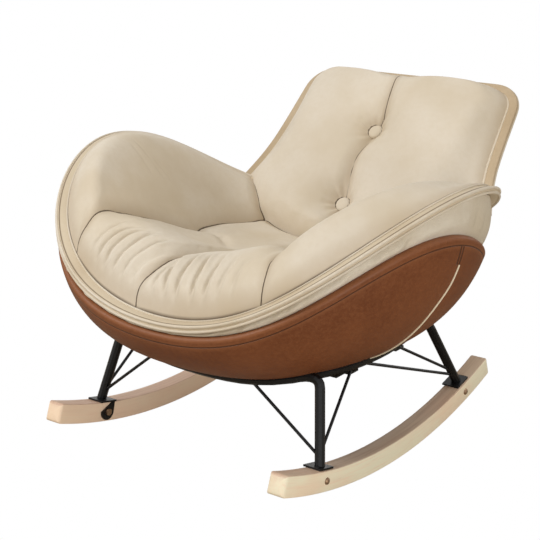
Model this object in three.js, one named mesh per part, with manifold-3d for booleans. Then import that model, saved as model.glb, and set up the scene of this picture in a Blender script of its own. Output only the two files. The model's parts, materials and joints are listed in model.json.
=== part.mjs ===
import * as THREE from "three";
import { mergeVertices } from "three/addons/utils/BufferGeometryUtils.js";
import Module from "manifold-3d";

// A rocking lounge chair: an upholstered bucket seat with a reclined tufted back, carried by
// bent steel tubes on two wooden rockers. Lengths are millimetres and angles are degrees.
// The chair faces -Y, the sitter's left is +X and the floor is z = 0. The level rockers touch
// the floor just behind the line y = 0 while the chair is modelled.

const wasm = await Module();
wasm.setup();
const { degToRad, clamp, lerp, smoothstep } = THREE.MathUtils;

// Fits
const clearance = 0.3;
const overrun = 60;
const weldTolerance = 0.0001;

// Wooden rockers
const rockerRadius = 1280;
const rockerDepth = 46;
const rockerWidth = 43;
const rockerSpacing = 620;
const rockerHalfAngle = 20;
const rockerEase = 2.5;
const rockerFacets = 15;
const rockerMidY = 9;
const rockerEndShift = 0.4;

// Steel tubes, rods and bars
const tubeRadius = 11;
const tubeSink = 10;
const rodRadius = 3.5;
const barThickness = 5;
const barWidth = 34;
const barSpacing = 190;
const barEndReach = 3;
const barBendRun = 20;

// Plan of the seat frame under the bowl
const frameHalfWidth = 279;
const frameFrontReach = 283;
const frameRearReach = 275;
const frameMidY = -10;
const frameSquareness = 4;
const bowInset = 57;

// Legs, each on a foot bracket
const legTopOutset = 0;
const legBendHeight = 236;
const legCornerHeight = 268;
const frontFootAngle = -13.3;
const rearFootAngle = 14.1;
const frontLegSetback = 51;
const rearLegSetback = 46;
const innerBraceShares = [0.13, 0.22];
const sideBraceShares = [0.16, 0.14];
const braceBowX = 134;
const frontBraceRailY = -105;
const rearBraceRailY = -80;
const rearShortBraceRailY = 65;

// Foot brackets and their bolts
const bracketThickness = 4;
const bracketLength = 50;
const earWidth = 40;
const earBoltDrop = 22;
const boltRadius = 4;
const boltHeadRadius = 8;
const boltHeadHeight = 5;
const seatBoltSpacing = 300;

// Rim of the bucket: the sizes, and the shares that shape its outline round the seat
const rimHalfWidth = 500;
const rimFrontReach = 441;
const rimWingHeight = 648;
const rimThickness = 16;
const rimWidth = 34;
const rimRound = 5;
const rimAcrossShares = [0.9833, -0.0296, -0.017, 0.0037];
const rimAlongShares = [-0.0615, -1.0145, 0.0003, 0.0513, 0.0232];
const rimHeightShares = [0.8036, -0.0423, -0.1781, -0.0054, 0.0176];

// Bowl below the rim, in two layers
const bowlAxisY = 9;
const bowlDepthZ = 207;
const bowlBaseZ = 221;
const bowlPlanPower = 0.65;
const bowlHeightPower = 1.04;
const coverThickness = 16;
const coverRound = 12;
const coverProudFront = 4;
const coverProudSide = -1;
const coverProudRear = -8;
const coverTopHeight = 564;
const coverTopShares = [0.7979, 0.0067, -0.149, -0.0481, 0.0253, 0.0169, -0.0065];
const coverSeamAngle = 87;
const coverSeamDrop = 66;
const pipingEndZ = 264;
const pipingRadius = 2.5;
const shellThickness = 18;

// Seat cushioning inside the bucket: heights of its surface from the middle out to the rim
const seatMiddleHeight = 418;
const seatWellHeight = 430;
const seatWellSwing = 28;
const seatWellShare = 0.35;
const ridgeHeight = 540;
const ridgeHeightShares = [0.8675, 0.1152, -0.0244, -0.0205, -0.0258, -0.0098];
const ridgePlaceShares = [0.6298, 0.0586, 0.0836, -0.0215, -0.0473];
const rollRise = 82;
const rollFall = 12;
const rollFadeStart = 46;
const rollFadeEnd = 104;
const rollShare = 0.84;
const rollEdgeShare = 0.9;
const rollEdgeRiseShare = 0.68;
const padEdgeDrop = 2;

// Seams of the seat: one up its middle, and one along each wing
const seamSpread = 265;
const seamStartY = -350;
const seamEndY = 240;
const seamDrawInShare = 0.33;
const seamDepth = 15;
const seamWidth = 16;
const puffRise = 5;

// Back, in its own frame: across, up the slope and out to the front
const backRecline = 45;
const backFootY = 231;
const backFootZ = 373;
const backTop = 537;
const backTopHalfWidth = 311;
const backHipHalfWidth = 324;
const backHipUp = 235;
const backShoulderUp = 168;
const backCorner = 78;
const backTailHalfWidth = 150;
const backWaistHalfWidth = 216;
const backWaistLow = 60;
const backWaistHigh = 126;
const backShellEdge = 12;
const backShellDepth = 20;
const backBandWidth = 25;
const backBandThickness = 11;
const backBandEase = 3;

// Back cushion
const cushionEdge = 10;
const cushionDepth = 84;
const cushionThickenShare = 0.02;
const cornerPinch = 34;
const cornerPinchRadius = 150;
const cushionRound = 135;
const cushionTopRound = 72;
const cushionHipHalfWidth = 298;
const cushionHipUp = 108;
const cushionWaistHalfWidth = 256;
const cushionWaistUp = 56;
const cushionFootHalfWidth = 128;
const cushionFootUp = -6;
const cushionDipUp = -26;
const buttonLowUp = 115;
const buttonHighUp = 330;
const buttonRadius = 15;
const buttonHeight = 9;
const buttonRound = 3;
const tuftDepth = 38;
const tuftRadius = 62;
const backSeamDepth = 8;
const backSeamWidth = 16;

const materials = {
  wood: new THREE.MeshStandardMaterial({ color: 0xdcbb92, roughness: 0.55, metalness: 0 }),
  steel: new THREE.MeshStandardMaterial({ color: 0x1b1b1c, roughness: 0.38, metalness: 0.6 }),
  bolt: new THREE.MeshStandardMaterial({ color: 0x9a7a5a, roughness: 0.35, metalness: 0.9 }),
  cream: new THREE.MeshStandardMaterial({ color: 0xe2d3b8, roughness: 0.7, metalness: 0 }),
  brown: new THREE.MeshStandardMaterial({ color: 0x8a4e30, roughness: 0.55, metalness: 0 }),
};

const chair = new THREE.Group();

function addMesh(name, geometry, material, parent = chair) {
  const mesh = new THREE.Mesh(geometry, material.clone());
  mesh.name = name;
  parent.add(mesh);
  return mesh;
}

// Solids: merged meshes that can be joined and cut

function solidOf(geometry) {
  const bare = new THREE.BufferGeometry();
  bare.setAttribute("position", geometry.getAttribute("position"));
  bare.setIndex(geometry.getIndex());
  const merged = mergeVertices(bare, weldTolerance);
  const index = merged.getIndex().array;
  const faces = [];
  for (let i = 0; i < index.length; i += 3) {
    const [a, b, c] = index.slice(i, i + 3);
    if (a !== b && b !== c && c !== a) faces.push(a, b, c);
  }
  const vertProperties = new Float32Array(merged.getAttribute("position").array);
  return new wasm.Manifold(new wasm.Mesh({ numProp: 3, vertProperties, triVerts: new Uint32Array(faces) }));
}

function geometryOf(solid) {
  const mesh = solid.getMesh();
  const geometry = new THREE.BufferGeometry();
  geometry.setAttribute("position", new THREE.BufferAttribute(new Float32Array(mesh.vertProperties), 3));
  geometry.setIndex(new THREE.BufferAttribute(new Uint32Array(mesh.triVerts), 1));
  geometry.computeVertexNormals();
  return geometry;
}

// Skins a row of rings, where a ring of one point is a pole, into a closed body.
function loft(rings, looped = false) {
  const points = rings.flat();
  const starts = rings.map((_, i) => rings.slice(0, i).flat().length);
  const faces = [];
  const bands = looped ? rings.length : rings.length - 1;
  for (let band = 0; band < bands; band++) {
    const next = (band + 1) % rings.length;
    const [here, there] = [rings[band].length, rings[next].length];
    const count = Math.max(here, there);
    for (let k = 0; k < count; k++) {
      const l = (k + 1) % count;
      const [p, q] = [starts[band] + (k % here), starts[band] + (l % here)];
      const [r, s] = [starts[next] + (k % there), starts[next] + (l % there)];
      if (here === 1) faces.push(p, s, r);
      else if (there === 1) faces.push(p, q, s);
      else {
        const split = points[p].distanceTo(points[s]) < points[q].distanceTo(points[r]);
        faces.push(...(split ? [p, q, s, p, s, r] : [p, q, r, q, s, r]));
      }
    }
  }
  return facingOut(points, faces);
}

// Turns a closed body's faces outward by the sign of its volume.
function facingOut(points, faces) {
  let volume = 0;
  for (let i = 0; i < faces.length; i += 3) {
    const [a, b, c] = faces.slice(i, i + 3).map((k) => points[k]);
    volume += a.dot(new THREE.Vector3().crossVectors(b, c));
  }
  const positions = points.flatMap((point) => point.toArray());
  const geometry = new THREE.BufferGeometry();
  geometry.setAttribute("position", new THREE.Float32BufferAttribute(positions, 3));
  geometry.setIndex(volume < 0 ? faces.reverse() : faces);
  geometry.computeVertexNormals();
  return geometry;
}

// A path given by its own stations, so that bends get more steps than straight runs.
class StationPath extends THREE.Curve {
  constructor(stations) {
    super();
    this.stations = stations;
  }
  getPoint(t, target = new THREE.Vector3()) {
    const last = this.stations.length - 1;
    const place = clamp(t, 0, 1) * last;
    const from = Math.min(Math.floor(place), last - 1);
    return target.lerpVectors(this.stations[from], this.stations[from + 1], place - from);
  }
  getPointAt(u, target) {
    return this.getPoint(u, target);
  }
  getTangentAt(u, target = new THREE.Vector3()) {
    const last = this.stations.length - 1;
    const place = Math.round(clamp(u, 0, 1) * last);
    const before = this.stations[Math.max(place - 1, 0)];
    const after = this.stations[Math.min(place + 1, last)];
    return target.subVectors(after, before).normalize();
  }
}

function tubeAlong(stations, radius, sides) {
  const section = new THREE.Shape();
  for (let k = 0; k < sides; k++) {
    const turn = (2 * Math.PI * k) / sides;
    section[k ? "lineTo" : "moveTo"](radius * Math.cos(turn), radius * Math.sin(turn));
  }
  section.closePath();
  const extrudePath = new StationPath(stations);
  return new THREE.ExtrudeGeometry(section, { steps: stations.length - 1, extrudePath });
}

const tubeSides = 10;
const rodSides = 8;
const mirrored = (point) => new THREE.Vector3(-point.x, point.y, point.z);

// Rim and bowl

const total = (values) => values.reduce((sum, value) => sum + value, 0);
const sineSum = (shares, angle) => total(shares.map((share, k) => share * Math.sin((k + 1) * angle)));
const cosineSum = (shares, angle) => total(shares.map((share, k) => share * Math.cos(k * angle)));

// Top outer edge of the rim, by the angle round the seat from its front.
function rimPoint(angle) {
  const x = rimHalfWidth * sineSum(rimAcrossShares, angle);
  const y = rimFrontReach * cosineSum(rimAlongShares, angle);
  const z = rimWingHeight * cosineSum(rimHeightShares, angle);
  return new THREE.Vector3(x, y, z);
}

function planReach(angle) {
  const rim = rimPoint(angle);
  return new THREE.Vector2(rim.x, rim.y - bowlAxisY);
}

// How far the cover stands outside the rim's outline, from its front, side and rear values.
function coverProud(angle) {
  const mean = (coverProudFront + coverProudRear) / 4 + coverProudSide / 2;
  const swing = (coverProudFront - coverProudRear) / 2;
  const square = (coverProudFront + coverProudRear) / 4 - coverProudSide / 2;
  return mean + swing * Math.cos(angle) + square * Math.cos(2 * angle);
}

const wallTop = (angle) => rimPoint(angle).z - rimThickness - clearance;
const coverTop = (angle) => coverTopHeight * cosineSum(coverTopShares, angle);

// A point of the bowl's layer that lies `inset` inside the cover's outer face.
function bowlPoint(angle, drop, inset) {
  const reach = planReach(angle);
  const radius = (reach.length() + coverProud(angle) - inset) * Math.cos(drop) ** bowlPlanPower;
  const top = wallTop(angle);
  const z = top - (top - bowlDepthZ - inset) * Math.sin(drop) ** bowlHeightPower;
  const plan = reach.setLength(radius);
  return new THREE.Vector3(plan.x, plan.y + bowlAxisY, z);
}

function dropAt(angle, z, inset) {
  const top = wallTop(angle);
  const share = clamp((top - z) / (top - bowlDepthZ - inset), 0, 1);
  return Math.asin(share ** (1 / bowlHeightPower));
}

const coverInset = 0;
const shellInset = coverThickness;
const cavityInset = coverThickness + shellThickness;
const padInset = cavityInset + clearance;
const floorZ = bowlBaseZ + cavityInset;

// Angles round the bowl: even steps on each side of the cover's side seam.
const stepsPerQuarter = 13;
const halfAngles = [];
for (let k = 0; k <= stepsPerQuarter; k++) halfAngles.push((coverSeamAngle * k) / stepsPerQuarter);
for (let k = 1; k <= stepsPerQuarter; k++) halfAngles.push(lerp(coverSeamAngle, 180, k / stepsPerQuarter));
const roundOf = (half) => [...half, ...half.slice(1, -1).reverse().map((angle) => 360 - angle)].map(degToRad);
const bowlAngles = roundOf(halfAngles);

const axisPoint = (z) => [new THREE.Vector3(0, bowlAxisY, z)];

// Plan of the point that lies at a share of the rim's reach.
function planAt(angle, share) {
  const reach = planReach(angle).multiplyScalar(share);
  return new THREE.Vector2(reach.x, reach.y + bowlAxisY);
}

// Rings of one layer from its flat base up to the height that `top` gives.
function layerRings(inset, top, rows) {
  const rings = [];
  for (let row = 0; row <= rows; row++) {
    rings.push(
      bowlAngles.map((angle) => {
        const base = dropAt(angle, bowlBaseZ + inset, inset);
        return bowlPoint(angle, lerp(base, dropAt(angle, top(angle), inset), row / rows), inset);
      }),
    );
  }
  return rings;
}

const bowlRows = 6;
const raised = (ring, lift) => ring.map((point) => point.clone().setZ(point.z + lift));

// The full volume inside one layer, open upward by `lift` above the wall's top.
function filledBowl(inset, lift) {
  const rings = layerRings(inset, wallTop, bowlRows);
  const lid = raised(rings[bowlRows], lift);
  return loft([axisPoint(bowlBaseZ + inset), ...rings, lid, axisPoint(rimWingHeight + lift)]);
}

// Wall between two layers, closed by a floor. Where it marks a space to keep clear, it is lifted.
function wallBetween(outerInset, innerInset, lift) {
  const topped = (rings) => (lift ? [...rings, raised(rings[bowlRows], lift)] : rings);
  const outside = topped(layerRings(outerInset, wallTop, bowlRows));
  const inside = topped(layerRings(innerInset, wallTop, bowlRows));
  const floor = axisPoint(bowlBaseZ + innerInset);
  return loft([axisPoint(bowlBaseZ + outerInset), ...outside, ...inside.reverse(), floor]);
}

function rimRings(grow) {
  const section = [];
  const roundSteps = 2;
  for (const side of [0, 1]) {
    for (let k = 0; k <= roundSteps; k++) {
      const turn = ((Math.PI / 2) * k) / roundSteps;
      const along = rimRound * (1 - (side ? Math.sin(turn) : Math.cos(turn)));
      const down = rimRound * (1 - (side ? Math.cos(turn) : Math.sin(turn)));
      section.push([side ? rimWidth - along + grow : along - grow, down - grow]);
    }
  }
  const ringAt = (insetAt, down) =>
    bowlAngles.map((angle) => {
      const reach = planReach(angle);
      reach.setLength(reach.length() - insetAt(angle));
      return new THREE.Vector3(reach.x, reach.y + bowlAxisY, rimPoint(angle).z - down);
    });
  const rings = section.map(([inset, down]) => ringAt(() => inset, down));
  const under = rimThickness + grow;
  rings.push(ringAt(() => rimWidth + grow, under));
  rings.push(ringAt((angle) => cavityInset - coverProud(angle), under));
  rings.push(ringAt((angle) => shellInset - coverProud(angle), under));
  rings.push(ringAt(() => -grow, under));
  return rings;
}

const rimBand = (grow) => loft(rimRings(grow), true);

// Outer cover of the bowl: its outside and rounded top edge, less the bucket that it wraps.
function bowlCover() {
  const roundTop = (angle) => coverTop(angle) - coverRound;
  const rings = layerRings(coverInset, roundTop, bowlRows);
  const roundSteps = 3;
  for (let k = 1; k <= roundSteps; k++) {
    const turn = ((Math.PI / 2) * k) / roundSteps;
    const inset = coverRound * (1 - Math.cos(turn));
    const fall = coverRound * (1 - Math.sin(turn));
    const dropTo = (angle) => dropAt(angle, coverTop(angle) - fall, inset);
    rings.push(bowlAngles.map((angle) => bowlPoint(angle, dropTo(angle), inset)));
  }
  const lidInset = coverThickness + clearance;
  rings.push(bowlAngles.map((angle) => bowlPoint(angle, dropAt(angle, coverTop(angle), lidInset), lidInset)));
  const outside = loft([axisPoint(bowlBaseZ), ...rings, axisPoint(coverTop(0))]);
  return solidOf(outside).subtract(solidOf(filledBowl(shellInset - clearance, overrun)));
}

const pipingSides = 6;

// Cord sewn over the cover's side seam, from under its top band down to the base.
function coverPiping() {
  const angle = degToRad(coverSeamAngle);
  const proud = -pipingRadius - clearance;
  const from = dropAt(angle, coverTop(angle) - coverSeamDrop, proud);
  const to = dropAt(angle, pipingEndZ, proud);
  const steps = 16;
  const stations = [];
  for (let k = 0; k <= steps; k++) stations.push(bowlPoint(angle, lerp(from, to, k / steps), proud));
  return stations;
}

// Cushioning inside the bucket

function riseAt(turn) {
  return lerp(rollRise, -rollFall, smoothstep(turn, degToRad(rollFadeStart), degToRad(rollFadeEnd)));
}

const turnOf = (angle) => Math.abs(Math.atan2(Math.sin(angle), Math.cos(angle)));
const bandShare = (angle) => 1 - rimWidth / planReach(angle).length();

// Smooth curve through knots, with no overshoot between them.
function smoothThrough(places, heights, place) {
  const last = places.length - 1;
  const slopes = places.slice(1).map((_, k) => (heights[k + 1] - heights[k]) / (places[k + 1] - places[k]));
  const tangent = (k) => {
    if (k === 0 || k === last) return slopes[k === 0 ? 0 : last - 1];
    const [before, after] = [slopes[k - 1], slopes[k]];
    return before * after <= 0 ? 0 : (2 * before * after) / (before + after);
  };
  let k = 0;
  while (k < last - 1 && place > places[k + 1]) k++;
  const span = places[k + 1] - places[k];
  const t = clamp((place - places[k]) / span, 0, 1);
  const [t2, t3] = [t ** 2, t ** 3];
  const start = (2 * t3 - 3 * t2 + 1) * heights[k] + (t3 - 2 * t2 + t) * span * tangent(k);
  return start + (3 * t2 - 2 * t3) * heights[k + 1] + (t3 - t2) * span * tangent(k + 1);
}

// Half the seat panel's width at a place along the chair, where the wings' seams run.
function seamHalfWidth(y) {
  const along = clamp((y - seamStartY) / (seamEndY - seamStartY), 0, 1);
  return seamSpread * (1 - seamDrawInShare * along ** 1.6);
}

// Depth of the nearest seam's valley, less the fullness between the seams.
function seamValley(x, y) {
  const gap = Math.min(Math.abs(x), Math.abs(Math.abs(x) - seamHalfWidth(y)));
  return seamDepth * Math.exp(-((gap / seamWidth) ** 2)) - puffRise * smoothstep(gap, 0, 4 * seamWidth);
}

// Height of the sitting surface, by the angle round the seat and the share of the rim's reach.
function padTop(angle, share) {
  const rim = rimPoint(angle).z;
  const rise = riseAt(turnOf(angle));
  const ridge = cosineSum(ridgePlaceShares, angle);
  const places = [0, seatWellShare, ridge, rollShare, rollEdgeShare, bandShare(angle)];
  const heights = [
    seatMiddleHeight,
    seatWellHeight + seatWellSwing * Math.cos(angle),
    ridgeHeight * cosineSum(ridgeHeightShares, angle),
    rim + rise,
    rim + rise * rollEdgeRiseShare,
    rim - padEdgeDrop,
  ];
  const plan = planAt(angle, share);
  const fade = 1 - smoothstep(share, rollShare, bandShare(angle));
  return smoothThrough(places, heights, share) - seamValley(plan.x, plan.y) * fade;
}

// Share of the reach at which a ray from the axis meets the wing's seam.
function seamShare(angle) {
  const widest = lerp(rollEdgeShare, rearSeamShare, smoothstep(turnOf(angle), Math.PI / 3, Math.PI * 5 / 6));
  let [low, high] = [0, widest];
  for (let k = 0; k < halvings; k++) {
    const middle = (low + high) / 2;
    const plan = planAt(angle, middle);
    if (Math.abs(plan.x) < seamHalfWidth(plan.y)) low = middle;
    else high = middle;
  }
  return low;
}

const halvings = 30;
const rearSeamShare = 0.66;
const insideShares = [0.3, 0.5, 0.66, 0.8, 0.9, 0.95, 1];
const outsideShares = [0.12, 0.3, 0.5, 0.68, 0.84, 0.94, 1];
const frontColumns = 9;
const sideColumns = 17;
const panelAngle = 40;

// Angles for the cushions, closer together at the middle seam and where the wings' seams start.
function padAngles() {
  const half = [0];
  const eased = (k, count) => (1 - Math.cos((Math.PI * k) / count)) / 2;
  for (let k = 1; k <= frontColumns; k++) half.push(panelAngle * eased(k, frontColumns));
  for (let k = 1; k <= sideColumns; k++) half.push(lerp(panelAngle, 180, (k / sideColumns) ** 1.2));
  return roundOf(half);
}

// The whole lining of the bucket: what lies under the sitting surface and inside the wall.
function liningSolid() {
  const angles = padAngles();
  const ringAt = (shareAt) =>
    angles.map((angle) => {
      const share = shareAt(angle);
      const plan = planAt(angle, share);
      return new THREE.Vector3(plan.x, plan.y, padTop(angle, share));
    });
  const rings = insideShares.map((share) => ringAt((angle) => share * seamShare(angle)));
  for (const share of outsideShares) {
    rings.push(ringAt((angle) => lerp(seamShare(angle), bandShare(angle), share)));
  }
  rings.push(ringAt(() => 1));
  const edge = rings[rings.length - 1].map((point) => point.clone().setZ(0));
  const under = loft([axisPoint(padTop(0, 0)), ...rings, edge, axisPoint(0)]);
  const cavity = solidOf(filledBowl(padInset, overrun));
  return solidOf(under).intersect(cavity).subtract(solidOf(rimBand(clearance)));
}

// Tall block over a plan outline.
function planBlock(points) {
  const shape = new THREE.Shape(points);
  return solidOf(new THREE.ExtrudeGeometry(shape, { depth: rimWingHeight + overrun, bevelEnabled: false }));
}

// Points along a wing's seam, which runs on past both ends of the seat.
function seamLine(offset) {
  const points = [];
  const steps = 16;
  for (let k = 0; k <= steps; k++) {
    const y = lerp(-rimFrontReach - overrun, rimFrontReach + overrun, k / steps);
    points.push(new THREE.Vector2(seamHalfWidth(y) + offset, y));
  }
  return points;
}

const onSide = (side, points) => planBlock(points.map(({ x, y }) => new THREE.Vector2(side * x, y)));

// Seat panel: from the middle seam out to a wing's seam.
function seatPanel(side) {
  const seam = seamLine(0);
  const middle = [seam[seam.length - 1], seam[0]].map(({ y }) => new THREE.Vector2(clearance / 2, y));
  return onSide(side, [...seam, ...middle]);
}

// Wing panel: from its seam out past the rim.
function wingPanel(side) {
  const seam = seamLine(clearance);
  const out = [seam[seam.length - 1], seam[0]].map(({ y }) => new THREE.Vector2(rimHalfWidth + overrun, y));
  return onSide(side, [...seam, ...out]);
}

// Rear panel: behind the well and the back's tail, from side to side.
function rearPanel() {
  const half = backWaistHalfWidth;
  const [near, far] = [backFootY / 2, rimFrontReach + overrun];
  const corners = [[half, near], [half, far], [-half, far], [-half, near]];
  return planBlock(corners.map(([x, y]) => new THREE.Vector2(x, y)));
}

// Back

const backFrame = new THREE.Group();
backFrame.position.set(0, backFootY, backFootZ);
backFrame.rotation.x = degToRad(90 - backRecline);
backFrame.updateMatrix();
const inChair = (geometry) => geometry.clone().applyMatrix4(backFrame.matrix);

// One side of the upper outline, from the shoulder over the corner to the top's middle.
function upperOutline(inset, from) {
  const points = [new THREE.Vector2(backHipHalfWidth - inset, from)];
  points.push(new THREE.Vector2(backHipHalfWidth - inset, backHipUp));
  const top = backTop - inset;
  const corner = backCorner - inset;
  const half = backTopHalfWidth - inset;
  const sideSteps = 3;
  for (let k = 1; k < sideSteps; k++) {
    const up = lerp(backHipUp, top - corner, k / sideSteps);
    points.push(new THREE.Vector2(lerp(backHipHalfWidth - inset, half, k / sideSteps), up));
  }
  const cornerSteps = 6;
  for (let k = 0; k <= cornerSteps; k++) {
    const turn = ((Math.PI / 2) * k) / cornerSteps;
    const across = half - corner + corner * Math.cos(turn);
    points.push(new THREE.Vector2(across, top - corner + corner * Math.sin(turn)));
  }
  const topSteps = 3;
  for (let k = 1; k <= topSteps; k++) {
    points.push(new THREE.Vector2((half - corner) * (1 - k / topSteps), top));
  }
  return points;
}

const bothSides = (half) => [
  ...half,
  ...half
    .slice(0, -1)
    .reverse()
    .map((point) => new THREE.Vector2(-point.x, point.y))
    .filter((point) => point.x !== 0),
];

// The tail stands on the bucket's floor.
const backTailUp = (floorZ + clearance - backFootZ) / Math.cos(degToRad(backRecline)) + backShellEdge;

function shellOutline(grow) {
  const tail = [
    new THREE.Vector2(0, backTailUp - grow),
    new THREE.Vector2(backTailHalfWidth + grow, backTailUp - grow),
    new THREE.Vector2(backWaistHalfWidth + grow, backWaistLow),
    new THREE.Vector2(backWaistHalfWidth + grow, backWaistHigh),
  ];
  return bothSides([...tail, ...upperOutline(-grow, backShoulderUp)]);
}

function backShell(grow) {
  const outline = shellOutline(grow);
  const ringAt = (share, out) =>
    outline.map(({ x, y }) => new THREE.Vector3(x * share, lerp(backShoulderUp, y, share), out));
  const centre = (out) => [new THREE.Vector3(0, backShoulderUp, out)];
  const rings = [centre(grow), ringAt(1, grow), ringAt(1, -backShellEdge - grow)];
  const crownShares = [0.96, 0.85, 0.6, 0.3];
  for (const share of crownShares) {
    const crown = Math.sqrt(1 - share ** 4);
    rings.push(ringAt(share, lerp(-backShellEdge, -backShellDepth, crown) - grow));
  }
  rings.push(centre(-backShellDepth - grow));
  return loft(rings);
}

// Band round the upper edge of the shell, with the cushion inside it.
function backBand() {
  const outer = bothSides(upperOutline(backBandEase, backShoulderUp + backBandEase));
  const inner = bothSides(upperOutline(backBandWidth - backBandEase, backShoulderUp + backBandEase));
  const shape = new THREE.Shape([...outer, ...inner.reverse()]);
  const depth = backBandThickness - 2 * backBandEase;
  const bevel = { bevelThickness: backBandEase, bevelSize: backBandEase, bevelSegments: 1 };
  const geometry = new THREE.ExtrudeGeometry(shape, { depth, ...bevel });
  return geometry.translate(0, 0, backBandEase + clearance);
}

const cushionFront = (up) => cushionDepth + cushionThickenShare * up;
const buttonHeights = [buttonLowUp, buttonHighUp];

// How far the cushion stands out at a place, given its distance from the edge.
function cushionOut(x, up, fromEdge) {
  const round = lerp(cushionRound, cushionTopRound, clamp((up - backHipUp) / backHipUp, 0, 1));
  const past = clamp(fromEdge / round, 0, 1);
  const swell = 1 - (1 - past) ** 2.2;
  const seam = backSeamDepth * Math.exp(-((x / backSeamWidth) ** 2));
  const dipAt = (at) => tuftDepth * Math.exp(-((Math.hypot(x, up - at) / tuftRadius) ** 2));
  const tufts = buttonHeights.map(dipAt);
  const fromCorner = Math.hypot(Math.abs(x) - backTopHalfWidth, up - backTop);
  const pinch = cornerPinch * Math.exp(-((fromCorner / cornerPinchRadius) ** 2));
  const dips = seam + tufts[0] + tufts[1] + pinch;
  return cushionEdge + (cushionFront(up) - cushionEdge - dips) * swell;
}

const cushionShares = [0.05, 0.12, 0.22, 0.36, 0.5, 0.64, 0.76, 0.87, 0.95, 1];

function backCushion(grow) {
  const inset = backBandWidth + clearance - grow;
  const lower = [
    new THREE.Vector2(0, cushionDipUp - grow),
    new THREE.Vector2(cushionFootHalfWidth / 2, lerp(cushionDipUp, cushionFootUp, 1 / 4) - grow),
    new THREE.Vector2(cushionFootHalfWidth + grow, cushionFootUp - grow),
    new THREE.Vector2(lerp(cushionFootHalfWidth, cushionWaistHalfWidth, 1 / 2), cushionWaistUp / 3),
    new THREE.Vector2(cushionWaistHalfWidth + grow, cushionWaistUp - grow),
    new THREE.Vector2(cushionHipHalfWidth + grow, cushionHipUp - grow),
    new THREE.Vector2(backHipHalfWidth - inset, lerp(cushionHipUp, backShoulderUp, 3 / 4)),
  ];
  const outline = bothSides([...lower, ...upperOutline(inset, backShoulderUp)]);
  const low = buttonLowUp / 2;
  const high = (buttonHighUp + backTop) / 2;
  const spineUp = (up) => clamp(lerp(low, high, (up - cushionDipUp) / (backTop - cushionDipUp)), low, high);
  const ringAt = (share) =>
    outline.map(({ x, y }) => {
      const spine = spineUp(y);
      const up = lerp(spine, y, share);
      const fromEdge = (1 - share) * Math.hypot(x, y - spine);
      return new THREE.Vector3(x * share, up, cushionOut(x * share, up, fromEdge) + grow);
    });
  const rings = [ringAt(0), ...cushionShares.map(ringAt)];
  rings.push(outline.map(({ x, y }) => new THREE.Vector3(x, y, clearance - grow)));
  rings.push([new THREE.Vector3(0, backShoulderUp, clearance - grow)]);
  return loft(rings);
}

// Everything behind a plane of the back's frame.
function behindBack(out) {
  const size = 2 * rimHalfWidth;
  const block = new THREE.BoxGeometry(size, 2 * size, size).translate(0, 0, out - size / 2);
  return solidOf(inChair(block));
}

function addUpholstery() {
  const walls = solidOf(wallBetween(-rimWidth, padInset, rimThickness / 2));
  const band = solidOf(rimBand(clearance));
  const shellSpace = solidOf(inChair(backShell(clearance)));
  const cushionSpace = solidOf(inChair(backCushion(clearance)));
  const lining = liningSolid().subtract(shellSpace).subtract(cushionSpace);
  const front = lining.subtract(behindBack(clearance));

  for (const [side, name] of [[1, "left"], [-1, "right"]]) {
    addMesh(`seat_pad_${name}`, geometryOf(front.intersect(seatPanel(side))), materials.cream);
    addMesh(`wing_pad_${name}`, geometryOf(front.intersect(wingPanel(side))), materials.cream);
  }
  const behind = behindBack(-backShellDepth - clearance);
  addMesh("rear_pad", geometryOf(lining.intersect(behind).intersect(rearPanel())), materials.cream);

  const shell = solidOf(inChair(backShell(0))).subtract(walls).subtract(band);
  addMesh("back_shell", geometryOf(shell), materials.cream);

  const cushion = solidOf(inChair(backCushion(0))).subtract(walls).subtract(band);
  const cuts = buttonHeights.map((up) => {
    const seat = new THREE.CylinderGeometry(buttonRadius + clearance, buttonRadius + clearance, overrun, 24);
    const out = buttonSeat(up) + overrun / 2;
    return solidOf(inChair(seat.rotateX(Math.PI / 2).translate(0, up, out)));
  });
  addMesh("back_pad", geometryOf(cushion.subtract(cuts[0]).subtract(cuts[1])), materials.cream);

  chair.add(backFrame);
  addMesh("back_rim_band", backBand(), materials.cream, backFrame);
  ["lower", "upper"].forEach((name, k) => {
    const button = addMesh(`tuft_button_${name}`, buttonGeometry(), materials.cream, backFrame);
    button.rotation.x = Math.PI / 2;
    button.position.set(0, buttonHeights[k], buttonSeat(buttonHeights[k]) + clearance);
  });
}

const buttonSeat = (up) => cushionOut(0, up, cushionRound);

function buttonGeometry() {
  const profile = [
    new THREE.Vector2(0, 0),
    new THREE.Vector2(buttonRadius - buttonRound, 0),
    new THREE.Vector2(buttonRadius, buttonRound),
  ];
  const steps = 4;
  for (let k = 1; k <= steps; k++) {
    const turn = ((Math.PI / 2) * k) / steps;
    const rise = buttonRound + (buttonHeight - buttonRound) * Math.sin(turn);
    profile.push(new THREE.Vector2(buttonRadius * Math.cos(turn), rise));
  }
  profile[profile.length - 1].x = 0;
  return new THREE.LatheGeometry(profile, 20);
}

// Steel frame

// Height for a tube's centre line that beds a little into the underside of the bowl.
function underBowl(x, y) {
  const turn = Math.atan2(Math.abs(x), bowlAxisY - y);
  let [low, high] = [0, Math.PI];
  for (let k = 0; k < halvings; k++) {
    const middle = (low + high) / 2;
    const reach = planReach(middle);
    if (Math.atan2(reach.x, -reach.y) < turn) low = middle;
    else high = middle;
  }
  const surface = (radius) => {
    const share = radius / (planReach(low).length() + coverProud(low));
    return bowlPoint(low, Math.acos(share ** (1 / bowlPlanPower)), coverInset).z;
  };
  const radius = Math.hypot(x, y - bowlAxisY);
  const slope = (surface(radius + tubeRadius) - surface(radius - tubeRadius)) / (2 * tubeRadius);
  const contact = Math.max(surface(radius), bowlBaseZ);
  return contact + tubeSink - (tubeRadius + clearance) * Math.hypot(1, slope);
}

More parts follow.
